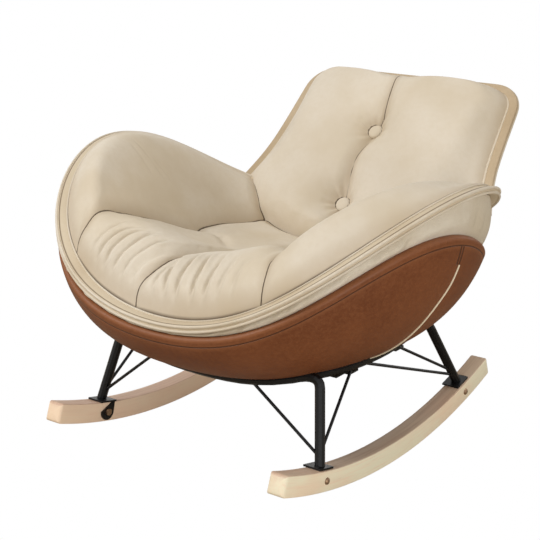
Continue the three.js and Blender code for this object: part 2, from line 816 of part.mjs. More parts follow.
// Plan of the seat frame: a rounded square through its front, sides and rear.
const squareShare = (share) => (1 - Math.abs(share) ** frameSquareness) ** (1 / frameSquareness);

function bowPoint(x, reach) {
  const y = frameMidY + (reach - frameMidY) * squareShare(x / frameHalfWidth);
  return new THREE.Vector3(x, y, underBowl(x, y));
}

function railPoint(y) {
  const reach = y < frameMidY ? -frameFrontReach : frameRearReach;
  const x = frameHalfWidth * squareShare((y - frameMidY) / (reach - frameMidY));
  return new THREE.Vector3(x, y, underBowl(x, y));
}

// Centre of a foot on the rocker's top arc, and the frame of its bracket.
function footFrame(side, angle) {
  const frame = new THREE.Group();
  const turn = degToRad(angle);
  const radius = rockerRadius - rockerDepth;
  const y = rockerMidY + radius * Math.sin(turn);
  frame.position.set((side * rockerSpacing) / 2, y, rockerRadius - radius * Math.cos(turn));
  frame.rotation.x = turn;
  frame.scale.x = 1;
  frame.updateMatrix();
  return frame;
}

const facetHalf = degToRad(rockerHalfAngle / rockerFacets);
const topRadius = rockerRadius - rockerDepth;
const facetSag = topRadius * (1 - Math.cos(facetHalf));
const bracketLift = clearance + facetSag + topRadius - Math.sqrt(topRadius ** 2 - (bracketLength / 2) ** 2);
const plateTop = bracketLift + bracketThickness;

const feet = [
  { name: "front", angle: frontFootAngle, reach: -frameFrontReach, setback: frontLegSetback },
  { name: "rear", angle: rearFootAngle, reach: frameRearReach, setback: rearLegSetback },
];

function legStart(foot, side = 1) {
  return new THREE.Vector3(0, 0, bracketLift).applyMatrix4(footFrame(side, foot.angle).matrix);
}

function legTop(foot, z) {
  const start = legStart(foot);
  const y = foot.reach - Math.sign(foot.reach) * foot.setback;
  const end = new THREE.Vector3(frameHalfWidth + legTopOutset, y, legBendHeight);
  return start.clone().lerp(end, (z - start.z) / (end.z - start.z));
}

// One continuous tube: up a leg, over the bend, along the bow and down the other leg.
function legFrameStations(foot) {
  const bend = legTop(foot, legBendHeight);
  const corner = legTop(foot, legCornerHeight);
  const span = frameHalfWidth - bowInset;
  const bowEnd = bowPoint(span, foot.reach);
  const curve = new THREE.QuadraticBezierCurve3(bend, corner, bowEnd);
  const stations = [legStart(foot), ...curve.getPoints(7)];
  const bowSteps = 6;
  for (let k = 1; k <= bowSteps; k++) stations.push(bowPoint(span * (1 - k / bowSteps), foot.reach));
  return [...stations, ...stations.slice(0, -1).reverse().map(mirrored)];
}

// A rail runs from one leg's bend to the other's.
function railStations(side) {
  const [start, end] = feet.map((foot) => legTop(foot, legCornerHeight).y);
  const stations = [];
  const steps = 12;
  for (let k = 0; k <= steps; k++) {
    const point = railPoint(lerp(start, end, k / steps));
    stations.push(side > 0 ? point : mirrored(point));
  }
  return stations;
}

const legFrameSolid = (foot, radius) => solidOf(tubeAlong(legFrameStations(foot), radius, tubeSides));
const railSolid = (side, radius) => solidOf(tubeAlong(railStations(side), radius, tubeSides));

// Where each leg's two braces end: on the bow or the rail.
const braceEnds = [
  { inner: () => bowPoint(braceBowX, feet[0].reach), side: () => railPoint(frontBraceRailY) },
  { inner: () => railPoint(rearShortBraceRailY), side: () => railPoint(rearBraceRailY) },
];

function addFrame() {
  const frames = feet.map((foot) => legFrameSolid(foot, tubeRadius + clearance));
  const railSpaces = {};
  const bars = [-1, 1].map((end) => barGeometry(barY(end), clearance));
  const barSpace = solidOf(bars[0]).add(solidOf(bars[1]));
  for (const foot of feet) {
    let frame = legFrameSolid(foot, tubeRadius);
    for (const side of [1, -1]) {
      const below = new THREE.BoxGeometry(2 * bracketLength, 2 * bracketLength, overrun);
      below.translate(0, 0, plateTop + clearance - overrun / 2);
      frame = frame.subtract(solidOf(below.applyMatrix4(footFrame(side, foot.angle).matrix)));
    }
    addMesh(`${foot.name}_leg_frame`, geometryOf(frame), materials.steel);
  }
  for (const [side, name] of [[1, "left"], [-1, "right"]]) {
    const rail = railSolid(side, tubeRadius).subtract(frames[0]).subtract(frames[1]);
    addMesh(`side_rail_${name}`, geometryOf(rail), materials.steel);
    railSpaces[name] = railSolid(side, tubeRadius + clearance);
  }
  feet.forEach((foot, k) => {
    for (const [side, name] of [[1, "left"], [-1, "right"]]) {
      const leg = (share) => legTop(foot, lerp(legStart(foot).z, legBendHeight, share));
      const inner = [leg(innerBraceShares[k]), braceEnds[k].inner()];
      const outer = [leg(sideBraceShares[k]), braceEnds[k].side()];
      for (const [kind, ends] of [["inner", inner], ["side", outer]]) {
        const stations = side > 0 ? ends : ends.map(mirrored);
        const rod = solidOf(tubeAlong(stations, rodRadius, rodSides));
        const clear = rod.subtract(frames[k]).subtract(railSpaces[name]).subtract(barSpace);
        addMesh(`${foot.name}_${kind}_brace_${name}`, geometryOf(clear), materials.steel);
      }
    }
  });
}

// Flat bars across the rails' undersides, which the bowl's base rests on and is bolted to.
function addCrossBars() {
  const z = bowlBaseZ - clearance - barThickness;
  for (const [end, name] of [[-1, "front"], [1, "rear"]]) {
    const y = barY(end);
    const bar = barGeometry(y, 0);
    let solid = solidOf(bar);
    for (const side of [1, -1]) {
      const hole = boltCut((side * seatBoltSpacing) / 2, y);
      solid = solid.subtract(hole).subtract(railSolid(side, tubeRadius + clearance));
    }
    addMesh(`cross_bar_${name}`, geometryOf(solid), materials.steel);
    for (const [side, hand] of [[1, "left"], [-1, "right"]]) {
      const bolt = addMesh(`seat_bolt_${name}_${hand}`, boltGeometry(seatBoltLength, false), materials.bolt);
      bolt.rotation.x = Math.PI / 2;
      bolt.position.set((side * seatBoltSpacing) / 2, y, z - clearance);
    }
  }
}

const barY = (end) => frameMidY + (end * barSpacing) / 2;

// Bar with its ends bent up or down to lie under the rails.
function barGeometry(y, grow) {
  const rail = railPoint(y);
  const under = rail.z - tubeRadius - 2 * clearance - barSag(y) + grow;
  const top = bowlBaseZ - clearance + grow;
  const inner = rail.x - tubeRadius - barBendRun;
  const half = [[inner, top], [inner + barBendRun, under], [rail.x + barEndReach + grow, under]];
  const across = [...half.map(([x, z]) => [-x, z]).reverse(), ...half];
  const upper = across.map(([x, z]) => new THREE.Vector2(x, z));
  const thickness = barThickness + 2 * grow;
  const width = barWidth + 2 * grow;
  const lower = upper.map(({ x, y: z }) => new THREE.Vector2(x, z - thickness)).reverse();
  const shape = new THREE.Shape([...upper, ...lower]);
  const geometry = new THREE.ExtrudeGeometry(shape, { depth: width, bevelEnabled: false });
  return geometry.rotateX(Math.PI / 2).translate(0, y + width / 2, 0);
}

// How far the rail drops over the bar's width.
const barSag = (y) => Math.abs(railPoint(y + barWidth / 2).z - railPoint(y - barWidth / 2).z) / 2;

const boltSides = 16;
const seatBoltLength = barThickness + 2 * clearance + coverThickness + shellThickness / 2;

function boltCut(x, y) {
  const radius = boltRadius + clearance;
  const bottom = bowlBaseZ - clearance - barThickness - overrun;
  const top = bowlBaseZ - 2 * clearance - barThickness + seatBoltLength + clearance;
  const hole = new THREE.CylinderGeometry(radius, radius, top - bottom, boltSides).rotateX(Math.PI / 2);
  return solidOf(hole.translate(x, y, (top + bottom) / 2));
}

// Round-headed bolt along +Y from the underside of its head, with a nut at the far end if asked.
function boltGeometry(length, nut) {
  const profile = [];
  const steps = 3;
  for (let k = 0; k <= steps; k++) {
    const turn = ((Math.PI / 2) * k) / steps;
    profile.push(new THREE.Vector2(boltHeadRadius * Math.sin(turn), -boltHeadHeight * Math.cos(turn)));
  }
  profile[0].x = 0;
  profile.push(new THREE.Vector2(boltRadius, 0));
  profile.push(new THREE.Vector2(boltRadius, length));
  if (nut) {
    profile.push(new THREE.Vector2(boltHeadRadius, length));
    profile.push(new THREE.Vector2(boltHeadRadius, length + boltHeadHeight));
    profile.push(new THREE.Vector2(0, length + boltHeadHeight));
  } else {
    profile.push(new THREE.Vector2(0, length));
  }
  return new THREE.LatheGeometry(profile, boltSides);
}

// Angle bracket on the rocker: a plate under the leg, and an ear with a round end down its side.
function bracketGeometry(side) {
  const inner = rockerWidth / 2 + clearance;
  const outer = rockerWidth / 2 - bracketThickness;
  const width = inner + bracketThickness + outer;
  const plate = new THREE.BoxGeometry(width, bracketLength, bracketThickness);
  plate.translate((-side * (width - 2 * outer)) / 2, 0, bracketLift + bracketThickness / 2);
  const ear = new THREE.Shape();
  ear.moveTo(-earWidth / 2, plateTop);
  ear.absarc(0, -earBoltDrop, earWidth / 2, Math.PI, 2 * Math.PI);
  ear.lineTo(earWidth / 2, plateTop);
  ear.closePath();
  ear.holes.push(new THREE.Path().absarc(0, -earBoltDrop, boltRadius + clearance, 0, 2 * Math.PI));
  const options = { depth: bracketThickness, bevelEnabled: false, curveSegments: 8 };
  const geometry = new THREE.ExtrudeGeometry(ear, options);
  geometry.applyMatrix4(sideways).translate(side > 0 ? -inner - bracketThickness : inner, 0, 0);
  return geometryOf(solidOf(plate).add(solidOf(geometry)));
}

// Turns a shape drawn in (y, z) and extruded along x.
const sideways = new THREE.Matrix4().makeBasis(
  new THREE.Vector3(0, 1, 0),
  new THREE.Vector3(0, 0, 1),
  new THREE.Vector3(1, 0, 0),
);

function addRockers() {
  const arc = (radius, from, to) => {
    const points = [];
    for (let k = 0; k <= rockerFacets; k++) {
      const shift = k % rockerFacets ? 0 : rockerEndShift;
      const turn = degToRad(lerp(from, to, k / rockerFacets) - shift);
      points.push(new THREE.Vector2(radius * Math.sin(turn), rockerRadius - radius * Math.cos(turn)));
    }
    return points;
  };
  const outline = [
    ...arc(rockerRadius / Math.cos(facetHalf), -rockerHalfAngle, rockerHalfAngle),
    ...arc(rockerRadius - rockerDepth, rockerHalfAngle, -rockerHalfAngle),
  ];
  const bevel = { bevelThickness: rockerEase, bevelSize: rockerEase, bevelOffset: -rockerEase };
  const options = { depth: rockerWidth - 2 * rockerEase, bevelSegments: 1, ...bevel };
  for (const [side, name] of [[1, "left"], [-1, "right"]]) {
    const wood = new THREE.ExtrudeGeometry(new THREE.Shape(outline), options);
    const inner = (side * rockerSpacing) / 2 - rockerWidth / 2 + rockerEase;
    wood.applyMatrix4(sideways).translate(inner, rockerMidY, 0);
    let solid = solidOf(wood);
    for (const foot of feet) {
      const frame = footFrame(side, foot.angle);
      chair.add(frame);
      const radius = boltRadius + clearance;
      const hole = new THREE.CylinderGeometry(radius, radius, 2 * rockerWidth, boltSides);
      hole.rotateZ(Math.PI / 2);
      solid = solid.subtract(solidOf(hole.translate(0, 0, -earBoltDrop).applyMatrix4(frame.matrix)));
      addMesh(`${foot.name}_bracket_${name}`, bracketGeometry(side), materials.steel, frame);
      const length = rockerWidth + bracketThickness + 3 * clearance;
      const geometry = boltGeometry(length, true);
      const bolt = addMesh(`${foot.name}_rocker_bolt_${name}`, geometry, materials.bolt, frame);
      bolt.rotation.z = (side * Math.PI) / 2;
      bolt.position.set(side * (rockerWidth / 2 + clearance), 0, -earBoltDrop);
    }
    addMesh(`rocker_${name}`, geometryOf(solid), materials.wood);
  }
}

function addBowl() {
  let cover = bowlCover();
  let shell = solidOf(wallBetween(shellInset, cavityInset, 0));
  for (const end of [-1, 1]) {
    for (const side of [-1, 1]) {
      const cut = boltCut((side * seatBoltSpacing) / 2, barY(end));
      cover = cover.subtract(cut);
      shell = shell.subtract(cut);
    }
  }
  for (const foot of feet) cover = cover.subtract(legFrameSolid(foot, tubeRadius + clearance));
  for (const side of [-1, 1]) cover = cover.subtract(railSolid(side, tubeRadius + clearance));
  addMesh("bowl_cover", geometryOf(cover), materials.brown);
  addMesh("bucket_shell", geometryOf(shell), materials.cream);
  addMesh("rim_band", rimBand(0), materials.cream);
  for (const [side, name] of [[1, "left"], [-1, "right"]]) {
    const stations = side > 0 ? coverPiping() : coverPiping().map(mirrored);
    const cord = solidOf(tubeAlong(stations, pipingRadius, pipingSides));
    const clear = cord.subtract(railSolid(side, tubeRadius + clearance));
    addMesh(`cover_piping_${name}`, geometryOf(clear), materials.cream);
  }
}

addRockers();
addFrame();
addCrossBars();
addBowl();
addUpholstery();

// The origin lies on the floor under the middle of the chair.
chair.updateMatrixWorld(true);
const bounds = new THREE.Box3().setFromObject(chair, true);
chair.position.y = -(bounds.min.y + bounds.max.y) / 2;

export default chair;
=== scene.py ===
import json
import math
from functools import lru_cache

import bmesh
import bpy
from mathutils import Matrix, Vector, bvhtree, kdtree, noise

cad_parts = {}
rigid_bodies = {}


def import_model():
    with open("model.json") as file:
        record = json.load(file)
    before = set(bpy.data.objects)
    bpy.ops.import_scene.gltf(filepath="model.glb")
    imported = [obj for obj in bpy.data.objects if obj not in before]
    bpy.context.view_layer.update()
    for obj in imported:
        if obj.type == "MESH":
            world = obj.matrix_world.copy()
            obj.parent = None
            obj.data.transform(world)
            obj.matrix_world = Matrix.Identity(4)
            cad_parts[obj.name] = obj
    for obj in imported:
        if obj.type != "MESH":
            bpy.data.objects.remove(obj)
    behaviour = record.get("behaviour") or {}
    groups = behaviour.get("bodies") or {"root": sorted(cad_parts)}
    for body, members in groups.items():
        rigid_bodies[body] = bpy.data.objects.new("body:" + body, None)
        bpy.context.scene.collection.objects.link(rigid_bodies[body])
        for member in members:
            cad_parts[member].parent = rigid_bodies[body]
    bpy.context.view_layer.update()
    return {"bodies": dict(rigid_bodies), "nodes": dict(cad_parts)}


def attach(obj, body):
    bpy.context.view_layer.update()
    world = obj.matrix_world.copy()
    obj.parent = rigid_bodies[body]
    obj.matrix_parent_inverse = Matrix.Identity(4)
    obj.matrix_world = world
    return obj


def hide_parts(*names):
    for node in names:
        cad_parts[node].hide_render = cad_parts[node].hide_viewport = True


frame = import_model()
body = next(iter(frame["bodies"]))

# The upholstery below is laid out in millimetres, in the chair's own place along the floor, and
# CHAIR_Y brings it to the frame's.
MM = 0.001
CHAIR_Y = -88.004

# Rim of the bucket and the bowl below it. Each list holds the shares of a sum of sines or
# cosines of the angle round the seat from its front.
RIM_HALF_WIDTH = 500
RIM_FRONT_REACH = 441
RIM_WING_HEIGHT = 648
RIM_ACROSS = [0.9833, -0.0296, -0.017, 0.0037]
RIM_ALONG = [-0.0615, -1.0145, 0.0003, 0.0513, 0.0232]
RIM_HEIGHT = [0.8036, -0.0423, -0.1781, -0.0054, 0.0176]
RIM_THICKNESS = 16
RIM_WIDTH = 34
AXIS_Y = 9
BOWL_DEPTH = 207
BOWL_BASE = 221
BOWL_PLAN_POWER = 0.65
BOWL_HEIGHT_POWER = 1.04
COVER_THICKNESS = 16
COVER_ROUND = 12
COVER_TOP_HEIGHT = 564
COVER_TOP = [0.7979, 0.0067, -0.149, -0.0481, 0.0253, 0.0169, -0.0065]
SIDE_SEAM = math.radians(89)
COVER_PROUD = [-1.5, 6, -0.5]
SIDE_SEAM_DROP = 66
SIDE_SEAM_FOOT = 246
SHELL_THICKNESS = 18
GAP = 0.3

# Cream wall between rim and cover: its swell, and the puckers that gather at the front corners
WALL_SWELL = 9
PUCKER_DEPTH = 2.5
FINE_PUCKER_DEPTH = 0.6
GATHER_TURN = 2.15
GATHER_SPREAD = 0.55
GATHER_DEPTH = 11
FINE_GATHER_DEPTH = 2

# Cords: radius of each
RIM_BEAD = 3.0
LINING_BEAD = 2.2
BACK_BEAD = 2.6
SIDE_PIPING = 2.0

# Sitting surface
SEAT_MIDDLE = 418
RIDGE_HEIGHT = [0.8675, 0.1152, -0.0244, -0.0205, -0.0258, -0.0098]
RIDGE_PLACE = [0.6298, 0.0586, 0.0836, -0.0215, -0.0473]
ROLL_RISE = 82
ROLL_FALL = 12
ROLL_FADE = (math.radians(46), math.radians(104))
ROLL_SHARE = 0.84
ROLL_EDGE_SHARE = 0.9
ROLL_EDGE_RISE = 0.68
WELL_HEIGHT = 430
WELL_SWING = 28
WELL_SHARE = 0.35
RIDGE_TOP = 540
LINING_THICKNESS = 32
BACK_CREASE_DEPTH = 6

# Back, in its own frame: across, up the slope and out to the front
BACK_FOOT = Vector((0, 231, 373))
BACK_TURN = Matrix.Rotation(math.radians(45), 3, "X")
BACK_TOP = 537
BACK_TOP_HALF = 311
BACK_HIPS = ((160, 362), (200, 348), (235, 337), (300, 324), (400, 315), (459, 311))
BACK_HIP_UP = 235
BACK_SHOULDER_UP = 168
BACK_CORNER = 78
BAND_WIDTH = 25
BAND_THICKNESS = 11
BUTTONS_UP = [115, 330]
BUTTON_RADIUS = 19.5
BUTTON_HEIGHT = 9
CUSHION_EDGE = 10
CUSHION_DEPTH = 71
CUSHION_SPINE = (57, 433)
TUFT_DEPTH = 38
TUFT_RADIUS = 60
CORNER_PINCH = 34
CORNER_PINCH_RADIUS = 150
SHELL_EDGE = 12
SHELL_BULGE = 16

# Air in the padding: size of the coarse copy's cells, the steps it is pressed for, and how far
# the back and the seat may move, in metres
COARSE_CELL = 0.009
PUFF_STEPS = 20
BACK_PUFF = 0.005
SEAT_PUFF = 0.006

# Rockers: bars bent to a radius, with eased ends
ROCKER_RADIUS = 1280
ROCKER_WIDTH = 43
ROCKER_DEPTH = 46
ROCKERS_APART = 620
ROCKER_MIDDLE_Y = 9
ROCKER_START = math.radians(-20.4)
ROCKER_SPREAD = math.radians(40)
ROCKER_NOSE = 9

# Camera, in millimetres, with its focal length in pixels of the square picture
CAMERA_PLACE = Vector((1736.5, -2384.3, 1287.5))
CAMERA_RIGHT = Vector((0.8049, 0.5934, 0))
CAMERA_ABOVE = Vector((-0.1735, 0.2353, 0.9563))
FOCAL_LENGTH = 1340.68
PICTURE_SIZE = 540
SENSOR_WIDTH = 36


def lerp(a, b, t):
    return a + (b - a) * t


def clamp(value, low=0.0, high=1.0):
    return max(low, min(high, value))


def smoothstep(value, low, high):
    t = clamp((value - low) / (high - low))
    return t * t * (3 - 2 * t)


def bell(value, width):
    return math.exp(-((value / width) ** 2))


def smooth_through(places, heights, place):
    last = len(places) - 1
    slopes = [(heights[k + 1] - heights[k]) / (places[k + 1] - places[k]) for k in range(last)]

    def tangent(k):
        if k in (0, last):
            return slopes[0 if k == 0 else last - 1]
        before, after = slopes[k - 1], slopes[k]
        return 0 if before * after <= 0 else 2 * before * after / (before + after)

    k = 0
    while k < last - 1 and place > places[k + 1]:
        k += 1
    span = places[k + 1] - places[k]
    t = clamp((place - places[k]) / span)
    start = (2 * t ** 3 - 3 * t ** 2 + 1) * heights[k] + (t ** 3 - 2 * t ** 2 + t) * span * tangent(k)
    return start + (3 * t ** 2 - 2 * t ** 3) * heights[k + 1] + (t ** 3 - t ** 2) * span * tangent(k + 1)


@lru_cache(maxsize=None)
def in_rows(rows, y):
    places, values = zip(*rows)
    return smooth_through(places, values, clamp(y, places[0], places[-1]))


def along_table(rows, y):
    """Value at y of a smooth line through rows of (y, value)."""
    return in_rows(rows, round(y, 1))


def cosines(shares, angle):
    return sum(share * math.cos(k * angle) for k, share in enumerate(shares))


def sines(shares, angle):
    return sum(share * math.sin((k + 1) * angle) for k, share in enumerate(shares))


@lru_cache(maxsize=None)
def rim(angle):
    return Vector((RIM_HALF_WIDTH * sines(RIM_ACROSS, angle),
                   RIM_FRONT_REACH * cosines(RIM_ALONG, angle),
                   RIM_WING_HEIGHT * cosines(RIM_HEIGHT, angle)))


@lru_cache(maxsize=None)
def reach(angle):
    edge = rim(angle)
    return Vector((edge.x, edge.y - AXIS_Y))


def proud(angle):
    """How far the cover stands outside the rim's outline."""
    return cosines(COVER_PROUD, angle)


def wall_top(angle):
    return rim(angle).z - RIM_THICKNESS - GAP


def cover_top(angle):
    return COVER_TOP_HEIGHT * cosines(COVER_TOP, angle)


def bowl(angle, drop, inset):
    out = reach(angle)
    radius = (out.length + proud(angle) - inset) * max(math.cos(drop), 0) ** BOWL_PLAN_POWER
    top = wall_top(angle)
    z = top - (top - BOWL_DEPTH - inset) * math.sin(drop) ** BOWL_HEIGHT_POWER
    plan = out.normalized() * radius
    return Vector((plan.x, plan.y + AXIS_Y, z))


def drop_at(angle, z, inset):
    top = wall_top(angle)
    share = clamp((top - z) / (top - BOWL_DEPTH - inset))
    return math.asin(share ** (1 / BOWL_HEIGHT_POWER))


def plan_at(angle, share):
    out = reach(angle) * share
    return Vector((out.x, out.y + AXIS_Y))


def lap(angle):
    """How far the lining's edge laps over the rim."""
    return 4 + 8 * math.sin(angle) ** 2


def sheet_edge(angle):
    return 1 - (RIM_WIDTH - lap(angle)) / reach(angle).length


def in_chair(across, up, out):
    return BACK_FOOT + BACK_TURN @ Vector((across, up, out))


# Making pieces


def skin(name, around, along, place, layers=None):
    """A grid whose points are placed by two shares, closed where its sides meet."""
    mesh = bmesh.new()
    bmesh.ops.create_grid(mesh, x_segments=around, y_segments=along, size=1)
    marks = {key: mesh.verts.layers.float.new(key) for key in (layers or {})}
    for vert in mesh.verts:
        u, v = (vert.co.x + 1) / 2, (vert.co.y + 1) / 2
        point = place(u, v)
        for key, value in (layers or {}).items():
            vert[marks[key]] = value(u, v, point)
        vert.co = (point + Vector((0, CHAIR_Y, 0))) * MM
    bmesh.ops.remove_doubles(mesh, verts=mesh.verts, dist=2e-5)
    open_edges = [edge for edge in mesh.edges if edge.is_boundary]
    if open_edges:
        bmesh.ops.holes_fill(mesh, edges=open_edges)
    bmesh.ops.recalc_face_normals(mesh, faces=mesh.faces)
    return finished(name, mesh)


def finished(name, mesh):
    data = bpy.data.meshes.new(name)
    mesh.to_mesh(data)
    mesh.free()
    piece = bpy.data.objects.new(name, data)
    bpy.context.scene.collection.objects.link(piece)
    for polygon in data.polygons:
        polygon.use_smooth = True
    return piece


def section(width, thickness, ease, steps=4):
    """Outline of a bar's section with rounded corners, round its middle."""
    points = []
    for sx, sy, start in [(1, 1, 0), (-1, 1, 90), (-1, -1, 180), (1, -1, 270)]:
        for k in range(steps + 1):
            turn = math.radians(start + 90 * k / steps)
            points.append((sx * (width / 2 - ease) + ease * math.cos(turn),
                           sy * (thickness / 2 - ease) + ease * math.sin(turn)))
    return points


def swept(name, profile, along, station, layers=None):
    """A bar of a given section along a line of stations: middle, sideways and upward."""
    count = len(profile)

    def place(u, v):
        x, y = profile[round(u * count) % count]
        middle, side, up = station(v)
        return middle + side * x + up * y

    return skin(name, count, along, place, layers)


def cord(name, radius, along, line):
    """A round cord along a line that may close on itself."""
    def station(v):
        step = 0.5 / along
        middle = line(v)
        run = (line(v + step) - line(v - step)).normalized()
        side = run.cross(Vector((0, 0, 1)))
        side = side.normalized() if side.length > 0.05 else run.orthogonal().normalized()
        return middle, side, side.cross(run)

    turns = [2 * math.pi * k / 10 for k in range(10)]
    ring = [(radius * math.cos(turn), radius * math.sin(turn)) for turn in turns]
    return swept(name, ring, along, station)


def dress(piece, look, slot, *nodes, fill=None):
    piece.data.materials.clear()
    piece.data.materials.append(look)
    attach(piece, body)
    if nodes:
        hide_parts(*nodes)
    return piece


# Looks


class Nodes:
    """A material's nodes, joined as they are made."""

    def __init__(self, name):
        self.look = bpy.data.materials.new(name)
        self.look.use_nodes = True
        self.tree = self.look.node_tree
        self.shader = self.tree.nodes["Principled BSDF"]

    def add(self, kind, values=None, **settings):
        node = self.tree.nodes.new(kind)
        for key, value in settings.items():
            setattr(node, key, value)
        for key, value in (values or {}).items():
            if isinstance(value, bpy.types.NodeSocket):
                self.tree.links.new(value, node.inputs[key])
            else:
                node.inputs[key].default_value = value
        return node

    def place(self, scale=(1, 1, 1)):
        where = self.add("ShaderNodeTexCoord").outputs["Object"]
        return self.scaled(where, scale)

    def scaled(self, where, scale):
        return self.add("ShaderNodeMapping", {"Vector": where, "Scale": scale}).outputs[0]

    def part(self, vector, axis):
        return self.add("ShaderNodeSeparateXYZ", {"Vector": vector}).outputs[axis]

    def noise(self, where, scale, detail=3.0, roughness=0.5):
        values = {"Vector": where, "Scale": scale, "Detail": detail, "Roughness": roughness}
        return self.add("ShaderNodeTexNoise", values).outputs["Fac"]

    def cells(self, where, scale):
        return self.add("ShaderNodeTexVoronoi", {"Vector": where, "Scale": scale}).outputs["Distance"]

    def attribute(self, name):
        return self.add("ShaderNodeAttribute", attribute_name=name).outputs["Fac"]

    def math(self, operation, a, b=0.0):
        return self.add("ShaderNodeMath", {0: a, 1: b}, operation=operation).outputs[0]

    def span(self, value, low, high, to_low=0.0, to_high=1.0):
        values = {"Value": value, "From Min": low, "From Max": high, "To Min": to_low, "To Max": to_high}
        return self.add("ShaderNodeMapRange", values, interpolation_type="SMOOTHSTEP").outputs["Result"]

    def mix(self, share, a, b):
        return self.add("ShaderNodeMix", {0: share, 6: a, 7: b}, data_type="RGBA").outputs[2]

    def bump(self, height, strength, distance, before=None):
        values = {"Height": height, "Strength": strength, "Distance": distance}
        if before is not None:
            values["Normal"] = before
        return self.add("ShaderNodeBump", values).outputs[0]

    def finish(self, **sockets):
        for key, value in sockets.items():
            key = key.replace("_", " ")
            if isinstance(value, bpy.types.NodeSocket):
                self.tree.links.new(value, self.shader.inputs[key])
            else:
                self.shader.inputs[key].default_value = value
        return self.look


def cream_leather(name, light=(0.76, 0.695, 0.595, 1), deep=(0.68, 0.595, 0.465, 1), grain=1.0,
                  seam_mark=None, shaded_creases_at=()):
    n = Nodes(name)
    where = n.place()
    clouds = n.noise(where, 5.0, 4.0)
    fine = n.noise(where, 90.0, 4.0)
    colour = n.mix(n.span(clouds, 0.35, 0.7), light, deep)
    colour = n.mix(n.span(fine, 0.3, 0.8, 0.0, 0.25), colour, deep)
    if seam_mark:
        gap = n.attribute(seam_mark)
        # Painted shade up to 22 mm from a seam, a button, the pad's edge or the back cushion, and a
        # near-black painted shadow line within 2 mm of them
        colour = n.mix(n.span(gap, 2.0, 22.0, 0.35, 0.0), colour, (0.46, 0.35, 0.23, 1))
        colour = n.mix(n.span(gap, 0.5, 2.0, 0.88, 0.0), colour, (0.07, 0.045, 0.025, 1))
    for place in shaded_creases_at:
        # Painted shade: a dark line at each given place round the band's section, in its grooves
        near = n.math("ABSOLUTE", n.math("SUBTRACT", n.attribute("round"), place))
        colour = n.mix(n.span(near, 0.5, 2.4, 0.85, 0.0), colour, (0.16, 0.11, 0.07, 1))
    pores = n.cells(where, 520.0)
    creases = n.noise(where, 260.0, 5.0, 0.6)
    height = n.math("ADD", n.math("MULTIPLY", pores, 0.5), creases)
    normal = n.bump(height, 0.16 * grain, 0.0012)
    normal = n.bump(n.noise(where, 34.0, 3.0), 0.10, 0.004, normal)
    rough = n.span(fine, 0.2, 0.8, 0.50, 0.64)
    return n.finish(Base_Color=colour, Roughness=rough, Normal=normal, Specular_IOR_Level=0.25)


def brown_leather():
    n = Nodes("brown_leather")
    where = n.place()
    clouds = n.noise(where, 6.0, 5.0, 0.6)
    mottle = n.noise(where, 120.0, 4.0, 0.65)
    colour = n.mix(n.span(clouds, 0.35, 0.68), (0.200, 0.063, 0.021, 1), (0.156, 0.045, 0.014, 1))
    colour = n.mix(n.span(mottle, 0.35, 0.75, 0.0, 0.5), colour, (0.27, 0.100, 0.038, 1))
    down = n.attribute("below_edge")
    seam = n.attribute("from_seam")
    edge_line = n.span(n.math("ABSOLUTE", n.math("SUBTRACT", down, 21.0)), 0.4, 2.2, 1.0, 0.0)
    twin = n.math("ABSOLUTE", n.math("SUBTRACT", n.math("ABSOLUTE", seam), 4.8))
    above_cord = n.math("MULTIPLY", n.span(down, 21.0, 23.0), n.span(down, 64.0, 66.0, 1.0, 0.0))
    side_line = n.math("MULTIPLY", n.span(twin, 1.3, 3.4, 1.0, 0.0), above_cord)
    line = n.math("MAXIMUM", edge_line, side_line)
    # Painted light on the band round the seam under the lip, 12 to 34 mm below the edge
    seam_band_light = n.math("MULTIPLY", n.span(down, 12.0, 20.0, 0.0, 0.45), n.span(down, 21.0, 34.0, 1.0, 0.0))
    colour = n.mix(seam_band_light, colour, (0.31, 0.12, 0.048, 1))
    colour = n.mix(n.math("MULTIPLY", line, 0.8), colour, (0.05, 0.016, 0.008, 1))
    # Painted highlight along the cover's top edge, fading out 18 mm below it
    lip_highlight = n.span(down, 2.0, 18.0, 0.30, 0.0)
    colour = n.mix(lip_highlight, colour, (0.46, 0.20, 0.09, 1))
    pebbles = n.cells(where, 430.0)
    ripples = n.noise(where, 300.0, 4.0, 0.6)
    height = n.math("ADD", n.math("MULTIPLY", pebbles, 0.8), ripples)
    normal = n.bump(height, 0.40, 0.0010)
    normal = n.bump(n.math("SUBTRACT", 1.0, line), 0.9, 0.0018, normal)
    rough = n.span(mottle, 0.2, 0.8, 0.40, 0.54)
    return n.finish(Base_Color=colour, Roughness=rough, Normal=normal, Specular_IOR_Level=0.26)


def black_steel():
    n = Nodes("black_steel")
    where = n.place()
    specks = n.noise(where, 240.0, 3.0)
    colour = n.mix(n.span(specks, 0.4, 0.7, 0.0, 0.6), (0.004, 0.004, 0.0045, 1), (0.009, 0.009, 0.0095, 1))
    rough = n.span(n.noise(where, 30.0, 3.0), 0.3, 0.7, 0.24, 0.34)
    normal = n.bump(specks, 0.05, 0.0006)
    return n.finish(Base_Color=colour, Roughness=rough, Normal=normal, Specular_IOR_Level=0.3)


def bolt_metal():
    n = Nodes("bolt_metal")
    where = n.place()
    stain = n.noise(where, 160.0, 3.0)
    colour = n.mix(n.span(stain, 0.35, 0.7), (0.40, 0.27, 0.17, 1), (0.26, 0.16, 0.10, 1))
    rough = n.span(stain, 0.2, 0.8, 0.34, 0.5)
    return n.finish(Base_Color=colour, Metallic=0.85, Roughness=rough, Normal=n.bump(stain, 0.1, 0.0005))


